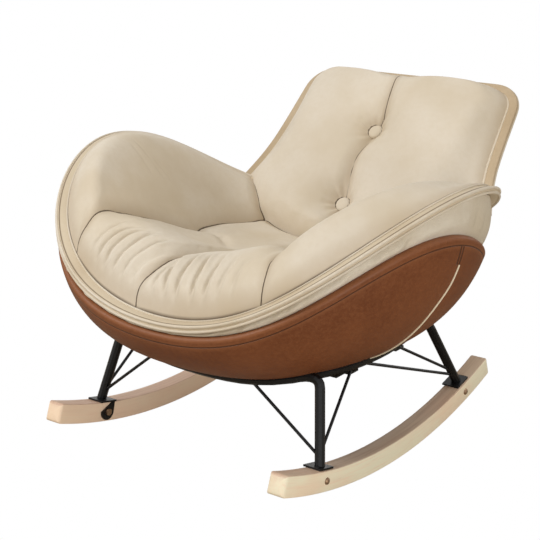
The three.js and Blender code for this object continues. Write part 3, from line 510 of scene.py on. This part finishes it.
def pale_wood():
    n = Nodes("pale_wood")
    across = n.part(n.place(), 0)
    length = n.math("MULTIPLY", n.attribute("along"), MM)
    depth = n.math("MULTIPLY", n.attribute("depth"), MM)
    where = n.add("ShaderNodeCombineXYZ", {"X": across, "Y": length, "Z": depth}).outputs[0]
    sway = n.noise(n.scaled(where, (34, 2.2, 34)), 0.9, 4.0, 0.55)
    bands = n.noise(n.scaled(where, (120, 3.0, 120)), 1.3, 6.0, 0.62)
    pores = n.noise(n.scaled(where, (900, 16, 900)), 1.0, 3.0, 0.6)
    patches = n.noise(n.scaled(where, (9, 5, 9)), 1.0, 3.0)
    light, rosy, dark = (1.0, 0.95, 0.74, 1), (1.0, 0.72, 0.53, 1), (0.72, 0.44, 0.31, 1)
    colour = n.mix(n.span(across, -0.31, 0.31, 0.7, 0.0), light, rosy)
    colour = n.mix(n.span(patches, 0.45, 0.68, 0.0, 0.5), colour, rosy)
    colour = n.mix(n.span(bands, 0.46, 0.72, 0.0, 0.4), colour, rosy)
    colour = n.mix(n.span(pores, 0.58, 0.78, 0.0, 0.35), colour, dark)
    colour = n.mix(n.span(sway, 0.55, 0.8, 0.0, 0.25), colour, dark)
    upward = n.part(n.add("ShaderNodeTexCoord").outputs["Normal"], 2)
    top = n.mix(n.span(bands, 0.4, 0.65), (0.66, 0.42, 0.31, 1), (0.50, 0.29, 0.21, 1))
    colour = n.mix(n.span(upward, 0.35, 0.75, 0.0, 0.62), colour, top)
    normal = n.bump(n.math("ADD", n.math("MULTIPLY", pores, 0.6), bands), 0.16, 0.0007)
    rough = n.span(bands, 0.3, 0.7, 0.42, 0.55)
    return n.finish(Base_Color=colour, Roughness=rough, Normal=normal, Specular_IOR_Level=0.35)


CREAM = cream_leather("cream_leather")
# Side piping cream, painted lighter than the rest to stand in for light, since the piping sits in shade
PIPING = cream_leather("cream_piping", (0.93, 0.84, 0.66, 1), (0.89, 0.79, 0.60, 1), 0.4)
SEAT_LEATHER = cream_leather("seat_leather", seam_mark="from_seam")
BACK_LEATHER = cream_leather("back_leather", seam_mark="from_seam")
CREAM_PEBBLED = cream_leather("cream_pebbled", (0.80, 0.74, 0.635, 1), (0.68, 0.60, 0.47, 1), 5.5)
CREAM_TRIM = cream_leather("cream_trim", (0.58, 0.47, 0.33, 1), (0.48, 0.37, 0.24, 1), 0.8)
# Rim band leather, with painted shade lines in its grooves
BAND_LEATHER = cream_leather("band_leather", (0.70, 0.61, 0.47, 1), (0.63, 0.53, 0.39, 1), 0.8,
                             shaded_creases_at=(8.6, 95.4))
BROWN = brown_leather()
STEEL = black_steel()
BOLT = bolt_metal()
WOOD = pale_wood()

# Bucket: brown cover, cream wall and rim


def full_turn(u):
    return 2 * math.pi * u


COVER_LID = COVER_THICKNESS + GAP


def cover_point(u, v):
    angle = full_turn(u)
    body_part, lip_part = 0.72, 0.80
    edge = cover_top(angle) - COVER_ROUND
    if v <= body_part:
        share = v / body_part
        point = bowl(angle, lerp(math.pi / 2, drop_at(angle, edge, 0), 1 - (1 - share) ** 1.3), 0)
        return Vector((point.x, point.y, max(point.z, BOWL_BASE)))
    if v <= lip_part:
        turn = math.pi / 2 * (v - body_part) / (lip_part - body_part)
        inset = COVER_ROUND * (1 - math.cos(turn))
        z = edge + COVER_ROUND * math.sin(turn)
        return bowl(angle, drop_at(angle, z, inset), inset)
    inside = drop_at(angle, cover_top(angle), COVER_LID)
    share = (v - lip_part) / (1 - lip_part)
    return bowl(angle, lerp(inside, math.pi / 2, max(0, share * 1.1 - 0.1)), COVER_LID - 0.6)


def below_edge(u, v, point):
    return cover_top(full_turn(u)) - point.z


def from_seam(u, v, point):
    angle = full_turn(u)
    turn = angle if angle <= math.pi else 2 * math.pi - angle
    return (turn - SIDE_SEAM) * Vector((point.x, point.y - AXIS_Y)).length


cover = skin("bucket_cover", 360, 150, cover_point, {"below_edge": below_edge, "from_seam": from_seam})
dress(cover, BROWN, "brown_leather", "bowl_cover")


def wall_point(u, v):
    """Cream wall, puffed between the rim and the cover, and puckered along the cover's edge."""
    angle = full_turn(u)
    top = wall_top(angle)
    outer_part = 0.6
    if v <= outer_part:
        drop = lerp(math.pi / 2, 0, (v / outer_part) ** 0.55)
        point = bowl(angle, drop, COVER_THICKNESS)
        low = cover_top(angle) - 1
        share = clamp((point.z - low) / max(top - low, 1))
        side = reach(angle).normalized()
        gathers = bell(abs(angle - math.pi) - GATHER_TURN, GATHER_SPREAD)
        pucker = noise.noise(Vector((angle * 17, 0.3, 0.7))) * (PUCKER_DEPTH + GATHER_DEPTH * gathers)
        fine = noise.noise(Vector((angle * 43, 2.1, 0.2)))
        pucker += fine * (FINE_PUCKER_DEPTH + FINE_GATHER_DEPTH * gathers)
        swell = WALL_SWELL * math.sin(math.pi * share) * (1 - 0.25 * share)
        swell += pucker * bell(share - 0.28, 0.34) * smoothstep(share, 0.02, 0.4)
        offset = side * swell
        return point + Vector((offset.x, offset.y, 0))
    share = (v - outer_part) / (1 - outer_part)
    inset = COVER_THICKNESS + SHELL_THICKNESS
    return bowl(angle, lerp(0, math.pi / 2, share ** 1.5), inset)


wall = skin("bucket_wall", 540, 130, wall_point)
dress(wall, CREAM_PEBBLED, "cream_leather", "bucket_shell")

BAND_SECTION = section(RIM_WIDTH, RIM_THICKNESS - 1, 5.5, 5)


def rim_frame(angle):
    """Top outer edge of the rim, with the level direction outward there."""
    out = reach(angle).normalized()
    return rim(angle), Vector((out.x, out.y, 0))


def band_station(v):
    edge, out = rim_frame(full_turn(v))
    return edge - out * RIM_WIDTH / 2 - Vector((0, 0, RIM_THICKNESS / 2)), out, Vector((0, 0, 1))


def around_section(profile):
    """Length along a section's outline up to each of its points."""
    walked_by = [0]
    for a, b in zip(profile, profile[1:]):
        walked_by.append(walked_by[-1] + math.dist(a, b))
    return walked_by


band_walk = around_section(BAND_SECTION)
band_marks = {"round": lambda u, v, p: band_walk[min(round(u * len(BAND_SECTION)), len(BAND_SECTION) - 1)]}
band = swept("rim_band_cover", BAND_SECTION, 420, band_station, band_marks)
dress(band, BAND_LEATHER, "cream_leather", "rim_band")


def rim_line(outward, down):
    def line(v):
        edge, out = rim_frame(full_turn(v))
        reached = lap(full_turn(v)) - RIM_WIDTH + 1.4 if outward is None else outward
        return edge + out * reached - Vector((0, 0, down))
    return line


# Two beads round the rim's outside, and one where the lining's edge lies on it
for name, outward, down, radius in [("upper", 0.6, 2.6, RIM_BEAD), ("lower", 0.4, 13.2, RIM_BEAD),
                                    ("inner", None, -0.6, LINING_BEAD)]:
    piece = cord("rim_cord_" + name, radius, 420, rim_line(outward, down))
    dress(piece, CREAM, "cream_leather")

# Padding


def puffed(piece, cap, seam_mark=None, pressure=4.0):
    """Presses a coarse copy of a pad out like air under its cover, and draws the pad after it."""
    scene = bpy.context.scene
    copy = bpy.data.objects.new(piece.name + "_padding", piece.data.copy())
    scene.collection.objects.link(copy)
    remesh = copy.modifiers.new("coarse", "REMESH")
    remesh.mode = "VOXEL"
    remesh.voxel_size = COARSE_CELL
    coarse = bpy.data.meshes.new_from_object(copy.evaluated_get(bpy.context.evaluated_depsgraph_get()))
    copy.modifiers.clear()
    copy.data = coarse
    rest = kdtree.KDTree(len(coarse.vertices))
    for k, vert in enumerate(coarse.vertices):
        rest.insert(vert.co, k)
    rest.balance()
    cloth = copy.modifiers.new("cover", "CLOTH")
    cloth.settings.use_pressure = True
    cloth.settings.uniform_pressure_force = pressure
    cloth.settings.effector_weights.gravity = 0
    cloth.point_cache.frame_start, cloth.point_cache.frame_end = 1, PUFF_STEPS
    for step in range(1, PUFF_STEPS + 1):
        scene.frame_set(step)
    pressed = copy.evaluated_get(bpy.context.evaluated_depsgraph_get()).data
    moves = []
    for old, new in zip(coarse.vertices, pressed.vertices):
        move = new.co - old.co
        moves.append(move * min(1, cap / move.length) if move.length else move)
    scene.frame_set(1)
    marks = piece.data.attributes[seam_mark].data if seam_mark else None
    for k, vert in enumerate(piece.data.vertices):
        near = rest.find_n(vert.co, 5)
        share = smoothstep(marks[k].value, 4, 34) if marks else 1
        vert.co += sum((moves[index] for _, index, _ in near), Vector()) / len(near) * share
    bpy.data.objects.remove(copy)


# Back


def upper_outline(inset, start, foot=()):
    """One side of the back's outline, from its shoulder over the corner to the top's middle."""
    half = BACK_TOP_HALF - inset
    top = BACK_TOP - inset
    corner = BACK_CORNER - inset
    points = [Vector(point) for point in foot]
    side = (start, 190, 212, 235, 260, 290, 330, 390)
    points += [Vector((along_table(BACK_HIPS, up) - inset, up)) for up in side]
    points.append(Vector((half, top - corner)))
    for k in range(1, 10):
        turn = math.pi / 2 * k / 9
        round_x, round_up = corner * math.cos(turn), corner * math.sin(turn)
        points.append(Vector((half - corner + round_x, top - corner + round_up)))
    points.append(Vector((0, top)))
    return points


def walked(points, count, rounds=0):
    """Evenly spaced points along a line, eased a little."""
    lengths = [0]
    for a, b in zip(points, points[1:]):
        lengths.append(lengths[-1] + (b - a).length)
    spaced = []
    k = 0
    for step in range(count + 1):
        at = lengths[-1] * step / count
        while k < len(points) - 2 and lengths[k + 1] < at:
            k += 1
        share = (at - lengths[k]) / max(lengths[k + 1] - lengths[k], 1e-6)
        spaced.append(points[k].lerp(points[k + 1], clamp(share)))
    for _ in range(rounds):
        eased = [(a + b * 2 + c) / 4 for a, b, c in zip(spaced, spaced[1:], spaced[2:])]
        spaced = [spaced[0]] + eased + [spaced[-1]]
    return spaced


CUSHION_FOOT = [(0, -26), (64, -21), (128, -6), (192, 17), (262, 50), (316, 104), (336, 150)]
cushion_half = walked(upper_outline(BAND_WIDTH - 2, BACK_SHOULDER_UP, CUSHION_FOOT), 200, 5)
for point in cushion_half:
    point.y += 3 * smoothstep(point.y, 440, 514)
cushion_outline = cushion_half + [Vector((-p.x, p.y)) for p in cushion_half[-2:0:-1]]

# Middle seam of the back cushion: height up the slope, and how far it strays to the side
BACK_SEAM = ((119, -8.5), (165, -8), (200, -10), (250, -12.5), (334, -12), (350, -6), (366, 0))


def back_seam(up):
    return along_table(BACK_SEAM, up)


def cushion_out(x, up, from_edge):
    """How far the back cushion stands out, with its seam and the dips at its buttons."""
    edge_round = lerp(135, 60, clamp((up - BACK_HIP_UP) / BACK_HIP_UP))
    past = clamp(from_edge / edge_round)
    swell = 1 - (1 - past) ** 2.3
    low, high = BUTTONS_UP
    between = smoothstep(up, low, low + 60) * (1 - smoothstep(up, high - 60, high))
    off_seam = x - back_seam(up)
    over = 1 - 0.75 * smoothstep(up, 400, 500)
    seam = ((6 + 4 * between) * bell(off_seam, 17) + 4 * bell(off_seam, 3.2)) * over
    dips = 0
    for at in BUTTONS_UP:
        away = math.hypot(x - back_seam(at), up - at)
        turn = math.atan2(up - at, x - back_seam(at))
        pulls = 0.5 + 0.5 * noise.noise(Vector((2.2 * math.cos(turn), 2.2 * math.sin(turn), at * 0.1)))
        creases = 3.2 * pulls * math.cos(11 * turn + at) * bell(away - 30, 24)
        dips += TUFT_DEPTH * bell(away, TUFT_RADIUS) + 5 * bell(away, 24) - creases
    corner = CORNER_PINCH * bell(math.hypot(abs(x) - BACK_TOP_HALF, up - BACK_TOP), CORNER_PINCH_RADIUS)
    soft = 3.0 * noise.noise(Vector((x * 0.008, up * 0.008, 0.4)))
    return CUSHION_EDGE + (CUSHION_DEPTH + 0.02 * up - seam - dips - corner + soft) * swell


def cushion_point(u, v):
    outline = cushion_outline[round(u * len(cushion_outline)) % len(cushion_outline)]
    foot = -CUSHION_FOOT[0][1]
    spine = clamp(lerp(*CUSHION_SPINE, (outline.y + foot) / (BACK_TOP + foot)), *CUSHION_SPINE)
    front_part = 0.9
    if v <= front_part:
        share = 1 - (1 - v / front_part) ** 1.15
        x, up = outline.x * share, lerp(spine, outline.y, share)
        from_edge = (1 - share) * math.hypot(outline.x, outline.y - spine)
        return in_chair(x, up, cushion_out(x, up, from_edge))
    share = 1 - (v - front_part) / (1 - front_part)
    under = 0.3 + 9.7 * max(0, 1 - (1 - share) * 6)
    return in_chair(outline.x * share, lerp(spine, outline.y, share), under)


# Distance to the back's seam, its buttons and its edge: the leather is painted with shade near them, and
# the puff fades there
def cushion_seam(u, v, point):
    flat = BACK_TURN.inverted() @ (point - BACK_FOOT)
    gap = abs(flat.x - back_seam(flat.y))
    for up in BUTTONS_UP:
        gap = min(gap, max(0, math.hypot(flat.x - back_seam(up), flat.y - up) - BUTTON_RADIUS + 1))
    outline = cushion_outline[round(u * len(cushion_outline)) % len(cushion_outline)]
    return min(gap, math.hypot(flat.x - outline.x, flat.y - outline.y) + 0.8) if v < 0.9 else 0


cushion = skin("back_cushion", len(cushion_outline), 130, cushion_point, {"from_seam": cushion_seam})
puffed(cushion, BACK_PUFF, "from_seam")
dress(cushion, BACK_LEATHER, "cream_leather", "back_pad", fill=0.75)
against_back = bvhtree.BVHTree.FromObject(cushion, bpy.context.evaluated_depsgraph_get())

# Seat and wings

SHEET_AROUND = 880
SHEET_ALONG = 150

# Seams of the seat: place along the chair, and how far each lies to the side there
MIDDLE_SEAM = ((-440, -74), (-407, -67), (-371, -57), (-337, -47), (-301, -38), (-262, -27),
               (-200, -12), (-110, 0))
FAR_SEAM = ((-430, 284), (-380, 273), (-345, 262), (-305, 256), (-260, 263), (-200, 273), (-150, 271),
            (-104, 260), (-57, 243), (-16, 235), (40, 240), (110, 247), (170, 238), (240, 212))
NEAR_SEAM = ((-430, 250), (-369, 237), (-335, 230), (-280, 244), (-190, 252), (-110, 240),
             (0, 222), (120, 216), (240, 190))


def middle_seam(y):
    """How far the seat's middle seam lies to the side, at its front and over the roll."""
    return along_table(MIDDLE_SEAM, y)


def near_wing(y):
    return along_table(NEAR_SEAM, y)


def far_wing(y):
    return -along_table(FAR_SEAM, y)


def seam_gap(x, y):
    return min(abs(x - middle_seam(y)), abs(x - near_wing(y)), abs(x - far_wing(y)))


# Gathers that run up the front roll from the rim: foot, head and depth of each.
GATHERS = [
    ((-232, -392), (-188, -318), 4.2), ((-205, -397), (-160, -322), 7.8), ((-180, -400), (-138, -318), 8.8),
    ((-151, -402), (-117, -306), 8.0), ((-120, -400), (-86, -300), 6.8), ((-90, -404), (-63, -322), 5.0),
    ((-33, -410), (-27, -340), 6.2), ((3, -410), (-17, -322), 10.0), ((36, -408), (14, -316), 11.0),
    ((70, -408), (54, -312), 10.5), ((101, -408), (99, -322), 9.0), ((132, -404), (140, -340), 5.2),
    ((165, -398), (178, -346), 3.8)]


def folds(x, y):
    """Lift of the cover by its gathers."""
    lift = 0
    for (foot_x, foot_y), (head_x, head_y), depth in GATHERS:
        share = (y - foot_y) / (head_y - foot_y)
        if not -0.8 < share < 1.4:
            continue
        line = lerp(foot_x, head_x, share) + 3.5 * math.sin(3.1 * share + foot_x)
        strength = smoothstep(share, -0.8, -0.1) * (1 - smoothstep(share, 0.65, 1.4))
        away = x - line
        lift += depth * strength * (0.7 * bell(away - 11, 8) - 1.15 * bell(away, 5.8))
    return lift


SLACK = [(-238, -14), (-205, 4), (-180, 10), (-148, -14), (-100, -62), (-62, -104)]


def slack(x, y):
    """Trough where the front roll turns down into the seat, beside the far wing."""
    nearest = 1e9
    along = 0
    for k, (a, b) in enumerate(zip(SLACK, SLACK[1:])):
        start, run = Vector(a), Vector(b) - Vector(a)
        share = clamp((Vector((x, y)) - start).dot(run) / run.length_squared)
        gap = (Vector((x, y)) - start - run * share).length
        if gap < nearest:
            nearest, along = gap, (k + share) / (len(SLACK) - 1)
    return 7 * bell(nearest, 13) * (1 - smoothstep(along, 0.55, 1)) + 3 * bell(nearest, 32) * (1 - along)


# Short creases on the inner side of the far wing, near its top
WING_CREASES = [((-385, -52), (-322, -26), 2.2), ((-372, -74), (-330, -60), 1.6),
                ((-360, -30), (-318, -4), 1.4)]


def wing_folds(x, y):
    lift = 0
    for a, b, depth in WING_CREASES:
        start, run = Vector(a), Vector(b) - Vector(a)
        share = (Vector((x, y)) - start).dot(run) / run.length_squared
        if -0.3 < share < 1.3:
            gap = (Vector((x, y)) - start).cross(run) / run.length
            form = 0.7 * bell(gap - 9, 8) - bell(gap, 5)
            lift += depth * form * smoothstep(share, -0.3, 0.2) * (1 - smoothstep(share, 0.8, 1.3))
    return lift


def seat_height(angle, share):
    edge = rim(angle).z
    turn = abs(math.atan2(math.sin(angle), math.cos(angle)))
    rise = lerp(ROLL_RISE, -ROLL_FALL, smoothstep(turn, *ROLL_FADE))
    band = 1 - RIM_WIDTH / reach(angle).length
    places = [0, 0.06, WELL_SHARE, cosines(RIDGE_PLACE, angle), ROLL_SHARE, ROLL_EDGE_SHARE,
              band, sheet_edge(angle)]
    lift = 0.30 * max(rise, 0) + 5
    heights = [SEAT_MIDDLE, SEAT_MIDDLE + 0.2, WELL_HEIGHT + WELL_SWING * math.cos(angle),
               RIDGE_TOP * cosines(RIDGE_HEIGHT, angle), edge + rise, edge + ROLL_EDGE_RISE * rise,
               edge + lift, edge + 0.4]
    return smooth_through(places, heights, share)


def valley(gap, share, band):
    deep = 9 * bell(gap, 15) + 4.5 * bell(gap, 3.6) - 5 * smoothstep(gap, 0, 60)
    return deep * (1 - 0.75 * smoothstep(share, ROLL_SHARE, band))


def seat_panel(name, low_seam, high_seam, nodes):
    """One panel of the lining: a sheet between two seams, with the padding under it."""
    mesh = bmesh.new()
    bmesh.ops.create_grid(mesh, x_segments=SHEET_AROUND, y_segments=SHEET_ALONG, size=1)
    turn_layer = mesh.verts.layers.float.new("turn")
    share_layer = mesh.verts.layers.float.new("share")
    for vert in mesh.verts:
        angle, share = round(math.pi * vert.co.x, 6), 1 - (1 - (vert.co.y + 1) / 2) ** 1.25
        vert[turn_layer], vert[share_layer] = angle, share * sheet_edge(angle)
        plan = plan_at(angle, share * sheet_edge(angle))
        vert.co = (plan.x, plan.y, 0)
    for seam, keep in [(low_seam, 1), (high_seam, -1)]:
        if seam is None:
            continue
        for vert in mesh.verts:
            vert.co.x -= seam(vert.co.y)
        bmesh.ops.bisect_plane(mesh, geom=mesh.verts[:] + mesh.edges[:] + mesh.faces[:], dist=1e-3,
                               plane_co=(keep * 0.4, 0, 0), plane_no=(keep, 0, 0), clear_inner=True)
        for vert in mesh.verts:
            vert.co.x += seam(vert.co.y)
    bmesh.ops.remove_doubles(mesh, verts=mesh.verts, dist=0.4)
    gap_layer = mesh.verts.layers.float.new("from_seam")
    for vert in mesh.verts:
        vert.co.z = seat_height(round(vert[turn_layer], 4), vert[share_layer])
    inner = [vert for vert in mesh.verts if not vert.is_boundary]
    for _ in range(90):
        bmesh.ops.smooth_vert(mesh, verts=inner, factor=0.5, use_axis_z=True)
    for vert in mesh.verts:
        x, y = vert.co.x, vert.co.y
        angle, share = round(vert[turn_layer], 4), vert[share_layer]
        band = 1 - RIM_WIDTH / reach(angle).length
        from_edge = (sheet_edge(angle) - share) * reach(angle).length
        gap = seam_gap(x, y)
        z = vert.co.z - valley(gap, share, band) - slack(x, y)
        fold = (folds(x, y) + wing_folds(x, y)) * smoothstep(from_edge, 4, 30)
        push = reach(angle).normalized() * fold * smoothstep(share, ROLL_SHARE, 0.93)
        point = Vector((x + push.x, y + CHAIR_Y + push.y, z + fold)) * MM
        nearest, outward, _, away = against_back.find_nearest(point)
        away = away / MM * (1 if (point - nearest).dot(outward) > 0 else -1)
        point.z -= BACK_CREASE_DEPTH * MM * bell(max(away, 0), 11)
        # Distance to the nearest seam, the sheet's edge and the back cushion: the leather is painted with
        # shade near them, and the puff fades there
        vert[gap_layer] = max(0, min(gap, from_edge + 0.6, away - 1.2))
        vert.co = point
    behind = in_chair(0, 0, 9) + Vector((0, CHAIR_Y, 0))
    bmesh.ops.bisect_plane(mesh, geom=mesh.verts[:] + mesh.edges[:] + mesh.faces[:], dist=1e-6,
                           plane_co=behind * MM, plane_no=BACK_TURN @ Vector((0, 0, -1)), clear_outer=True)
    bmesh.ops.recalc_face_normals(mesh, faces=mesh.faces)
    if sum(face.normal.z for face in mesh.faces) < 0:
        bmesh.ops.reverse_faces(mesh, faces=mesh.faces)
    lower = bmesh.ops.extrude_face_region(mesh, geom=mesh.faces[:], use_keep_orig=True)["geom"]
    lower = [item for item in lower if isinstance(item, bmesh.types.BMVert)]
    bmesh.ops.translate(mesh, vec=(0, 0, -LINING_THICKNESS * MM), verts=lower)
    bmesh.ops.recalc_face_normals(mesh, faces=mesh.faces)
    piece = finished(name, mesh)
    puffed(piece, SEAT_PUFF, "from_seam")
    return dress(piece, SEAT_LEATHER, "cream_leather", *nodes, fill=0.7)


seat_panel("seat_cushion_left", middle_seam, near_wing, ["seat_pad_left", "rear_pad"])
seat_panel("seat_cushion_right", far_wing, middle_seam, ["seat_pad_right"])
seat_panel("wing_cushion_left", near_wing, None, ["wing_pad_left"])
seat_panel("wing_cushion_right", None, far_wing, ["wing_pad_right"])

# Shell and band of the back

SHELL_FOOT = [(0, -118), (150, -118), (216, 30), (264, 62), (312, 110), (336, 147)]
shell_half = walked(upper_outline(0, BACK_SHOULDER_UP, SHELL_FOOT), 120, 6)
shell_outline = shell_half + [Vector((-p.x, p.y)) for p in shell_half[-2:0:-1]]


def shell_point(u, v):
    outline = shell_outline[round(u * len(shell_outline)) % len(shell_outline)]
    if v <= 0.3:
        share, out = v / 0.3, 0
    else:
        turn = (v - 0.3) / 0.7
        share = 1 - turn
        out = -SHELL_EDGE * smoothstep(turn, 0, 0.12) - SHELL_BULGE * (1 - (1 - turn) ** 2.5)
    return in_chair(outline.x * share, lerp(BACK_SHOULDER_UP, outline.y, share), out)


shell = skin("back_shell_cover", len(shell_outline), 60, shell_point)
dress(shell, CREAM_PEBBLED, "cream_leather", "back_shell")

band_half = walked(upper_outline(BAND_WIDTH / 2, BACK_SHOULDER_UP + 1), 110, 3)
band_line = band_half + [Vector((-p.x, p.y)) for p in band_half[-2::-1]]


def on_band(v, shift, out):
    at = clamp(v) * (len(band_line) - 1)
    k = min(int(at), len(band_line) - 2)
    here = band_line[k].lerp(band_line[k + 1], at - k)
    run = (band_line[k + 1] - band_line[k]).normalized()
    side = Vector((run.y, -run.x))
    here = here + side * shift
    sideways, upward = Vector((side.x, side.y, 0)), Vector((0, 0, 1))
    return in_chair(here.x, here.y, out), BACK_TURN @ sideways, BACK_TURN @ upward


back_band = swept("back_band_cover", section(BAND_WIDTH - 0.6, BAND_THICKNESS, 4, 4), 220,
                  lambda v: on_band(v, 0, BAND_THICKNESS / 2 + 0.4))
dress(back_band, CREAM_TRIM, "cream_leather", "back_rim_band")
for name, shift, out in [("outer", BAND_WIDTH / 2 - 1, 1.6),
                         ("inner", -BAND_WIDTH / 2 + 1.5, BAND_THICKNESS)]:
    piece = cord("back_cord_" + name, BACK_BEAD, 220, lambda v, s=shift, o=out: on_band(v, s, o)[0])
    dress(piece, CREAM, "cream_leather")


def button_point(up, base):
    def place(u, v):
        angle = full_turn(u)
        if v < 0.7:
            turn = math.pi / 2 * v / 0.7
            radius, out = BUTTON_RADIUS * math.sin(turn) ** 0.8, 3 + BUTTON_HEIGHT * math.cos(turn) ** 0.8
        else:
            share = (v - 0.7) / 0.3
            radius, out = BUTTON_RADIUS * (1 - share ** 3), 3 - 8 * share
        return in_chair(back_seam(up) + radius * math.cos(angle), up + radius * math.sin(angle), base + out)
    return place


for name, up in zip(["lower", "upper"], BUTTONS_UP):
    base = cushion_out(back_seam(up), up, 200) + 5
    button = skin("button_" + name, 40, 16, button_point(up, base))
    dress(button, CREAM, "cream_leather", "tuft_button_" + name)

# Side piping of the cover, which swings forward a little toward the base
SIDE_SEAM_TURN = ((245, 81.5), (303, 83.4), (350, 85.0), (393, 86.4), (450, 88.8), (497, 89.5))

for side, name in [(1, "left"), (-1, "right")]:
    start = drop_at(SIDE_SEAM, cover_top(SIDE_SEAM) - SIDE_SEAM_DROP, -3)
    end = drop_at(SIDE_SEAM, SIDE_SEAM_FOOT, -3)

    def line(v, side=side, start=start, end=end):
        drop = lerp(start, end, v)
        low = bowl(SIDE_SEAM, drop, 0).z
        point = bowl(math.radians(along_table(SIDE_SEAM_TURN, low)), drop, -1.2)
        return Vector((side * point.x, point.y, point.z))

    piping = cord("side_piping_" + name, SIDE_PIPING, 90, line)
    dress(piping, PIPING, "cream_leather", "cover_piping_" + name)

# Wooden rockers, their ends eased over
ROCKER_SECTION = section(ROCKER_WIDTH, ROCKER_DEPTH, 3, 4)
ROCKER_LENGTH = ROCKER_RADIUS * ROCKER_SPREAD
nose_steps = [ROCKER_NOSE * (1 - math.cos(math.pi / 2 * k / 6)) for k in range(7)]
straight_steps = [lerp(ROCKER_NOSE, ROCKER_LENGTH - ROCKER_NOSE, k / 120) for k in range(1, 120)]
ROCKER_RUNS = [0.0] + nose_steps + straight_steps
ROCKER_RUNS += [ROCKER_LENGTH - step for step in nose_steps[::-1]] + [ROCKER_LENGTH]
for side, name in [(1, "left"), (-1, "right")]:

    def place(u, v, side=side):
        x, y = ROCKER_SECTION[round(u * len(ROCKER_SECTION)) % len(ROCKER_SECTION)]
        run = ROCKER_RUNS[round(v * (len(ROCKER_RUNS) - 1))]
        ends = min(run, ROCKER_LENGTH - run)
        inset = ROCKER_NOSE - math.sqrt(ROCKER_NOSE ** 2 - (ROCKER_NOSE - min(ends, ROCKER_NOSE)) ** 2)
        closing = 0 if run in (ROCKER_RUNS[0], ROCKER_RUNS[-1]) else 1
        turn = ROCKER_START + run / ROCKER_RADIUS
        up = Vector((0, -math.sin(turn), math.cos(turn)))
        centre = Vector((side * ROCKERS_APART / 2, ROCKER_MIDDLE_Y, ROCKER_RADIUS))
        middle = centre - up * (ROCKER_RADIUS - ROCKER_DEPTH / 2)
        across = x * (1 - inset / (ROCKER_WIDTH / 2)) * closing
        rise = y * (1 - inset / (ROCKER_DEPTH / 2)) * closing
        return middle + Vector((across, 0, 0)) + up * rise

    marks = {"along": lambda u, v, p: ROCKER_RUNS[round(v * (len(ROCKER_RUNS) - 1))],
             "depth": lambda u, v, p: (p - Vector((p.x, ROCKER_MIDDLE_Y, ROCKER_RADIUS))).length}
    rocker = skin("rocker_wood_" + name, len(ROCKER_SECTION), len(ROCKER_RUNS) - 1, place, marks)
    dress(rocker, WOOD, "pale_wood", "rocker_" + name)

# Steel parts and bolts keep their own shapes
for name, node in frame["nodes"].items():
    if node.hide_render:
        continue
    steel = any(word in name for word in ("frame", "rail", "brace", "bracket", "bar"))
    look = BOLT if "bolt" in name else STEEL if steel else CREAM
    node.data.materials.clear()
    node.data.materials.append(look)

# Floor, light and camera


def floor_look():
    """A pale floor that the camera sees as plain white."""
    n = Nodes("floor_white")
    rays = n.add("ShaderNodeLightPath")
    white = n.add("ShaderNodeEmission", {"Color": (1, 1, 1, 1), "Strength": 1.0})
    n.finish(Base_Color=(0.50, 0.45, 0.37, 1), Roughness=0.9, Specular_IOR_Level=0.0)
    shown = {0: rays.outputs["Is Camera Ray"], 1: n.shader.outputs[0], 2: white.outputs[0]}
    seen = n.add("ShaderNodeMixShader", shown)
    n.tree.links.new(seen.outputs[0], n.tree.nodes["Material Output"].inputs["Surface"])
    return n.look


mesh = bmesh.new()
bmesh.ops.create_grid(mesh, x_segments=1, y_segments=1, size=20)
floor = finished("floor", mesh)
floor.data.materials.append(floor_look())

world = bpy.data.worlds.new("studio")
bpy.context.scene.world = world
world.use_nodes = True
tree = world.node_tree
background = tree.nodes["Background"]
rays = tree.nodes.new("ShaderNodeLightPath")
total = tree.nodes.new("ShaderNodeMath")
total.operation = "MAXIMUM"
tree.links.new(rays.outputs["Is Camera Ray"], total.inputs[0])
tree.links.new(rays.outputs["Is Glossy Ray"], total.inputs[1])
strength = tree.nodes.new("ShaderNodeMapRange")
strength.inputs["To Min"].default_value = 0.38
strength.inputs["To Max"].default_value = 1.0
tree.links.new(total.outputs[0], strength.inputs["Value"])
tree.links.new(strength.outputs["Result"], background.inputs["Strength"])
tint = tree.nodes.new("ShaderNodeMix")
tint.data_type = "RGBA"
tree.links.new(total.outputs[0], tint.inputs[0])
tint.inputs[6].default_value = (1.0, 0.89, 0.73, 1)
tint.inputs[7].default_value = (1, 1, 1, 1)
tree.links.new(tint.outputs[2], background.inputs["Color"])


def lamp(name, place, target, size, power, colour=(1, 1, 1)):
    data = bpy.data.lights.new(name, "AREA")
    data.shape = "DISK"
    data.size = size
    data.energy = power
    data.color = colour
    piece = bpy.data.objects.new(name, data)
    piece.location = place
    piece.rotation_mode = "QUATERNION"
    piece.rotation_quaternion = (Vector(target) - Vector(place)).to_track_quat("-Z", "Y")
    bpy.context.scene.collection.objects.link(piece)


lamp("key", (-1.9, -2.9, 3.2), (0, 0, 0.4), 1.3, 96)
lamp("fill", (3.6, -1.9, 0.5), (0, 0, 0.25), 1.8, 64)
lamp("top", (0.4, 0.8, 3.6), (0, 0, 0.4), 2.0, 16)

ahead = CAMERA_ABOVE.cross(CAMERA_RIGHT)
lens = bpy.data.cameras.new("camera")
lens.sensor_width = SENSOR_WIDTH
lens.lens = SENSOR_WIDTH * FOCAL_LENGTH / PICTURE_SIZE
camera = bpy.data.objects.new("camera", lens)
stand = (CAMERA_PLACE + Vector((0, CHAIR_Y, 0))) * MM
facing = Matrix((CAMERA_RIGHT, CAMERA_ABOVE, -ahead)).transposed()
camera.matrix_world = Matrix.LocRotScale(stand, facing, None)
bpy.context.scene.collection.objects.link(camera)
bpy.context.scene.camera = camera
bpy.context.scene.view_settings.view_transform = "Standard"
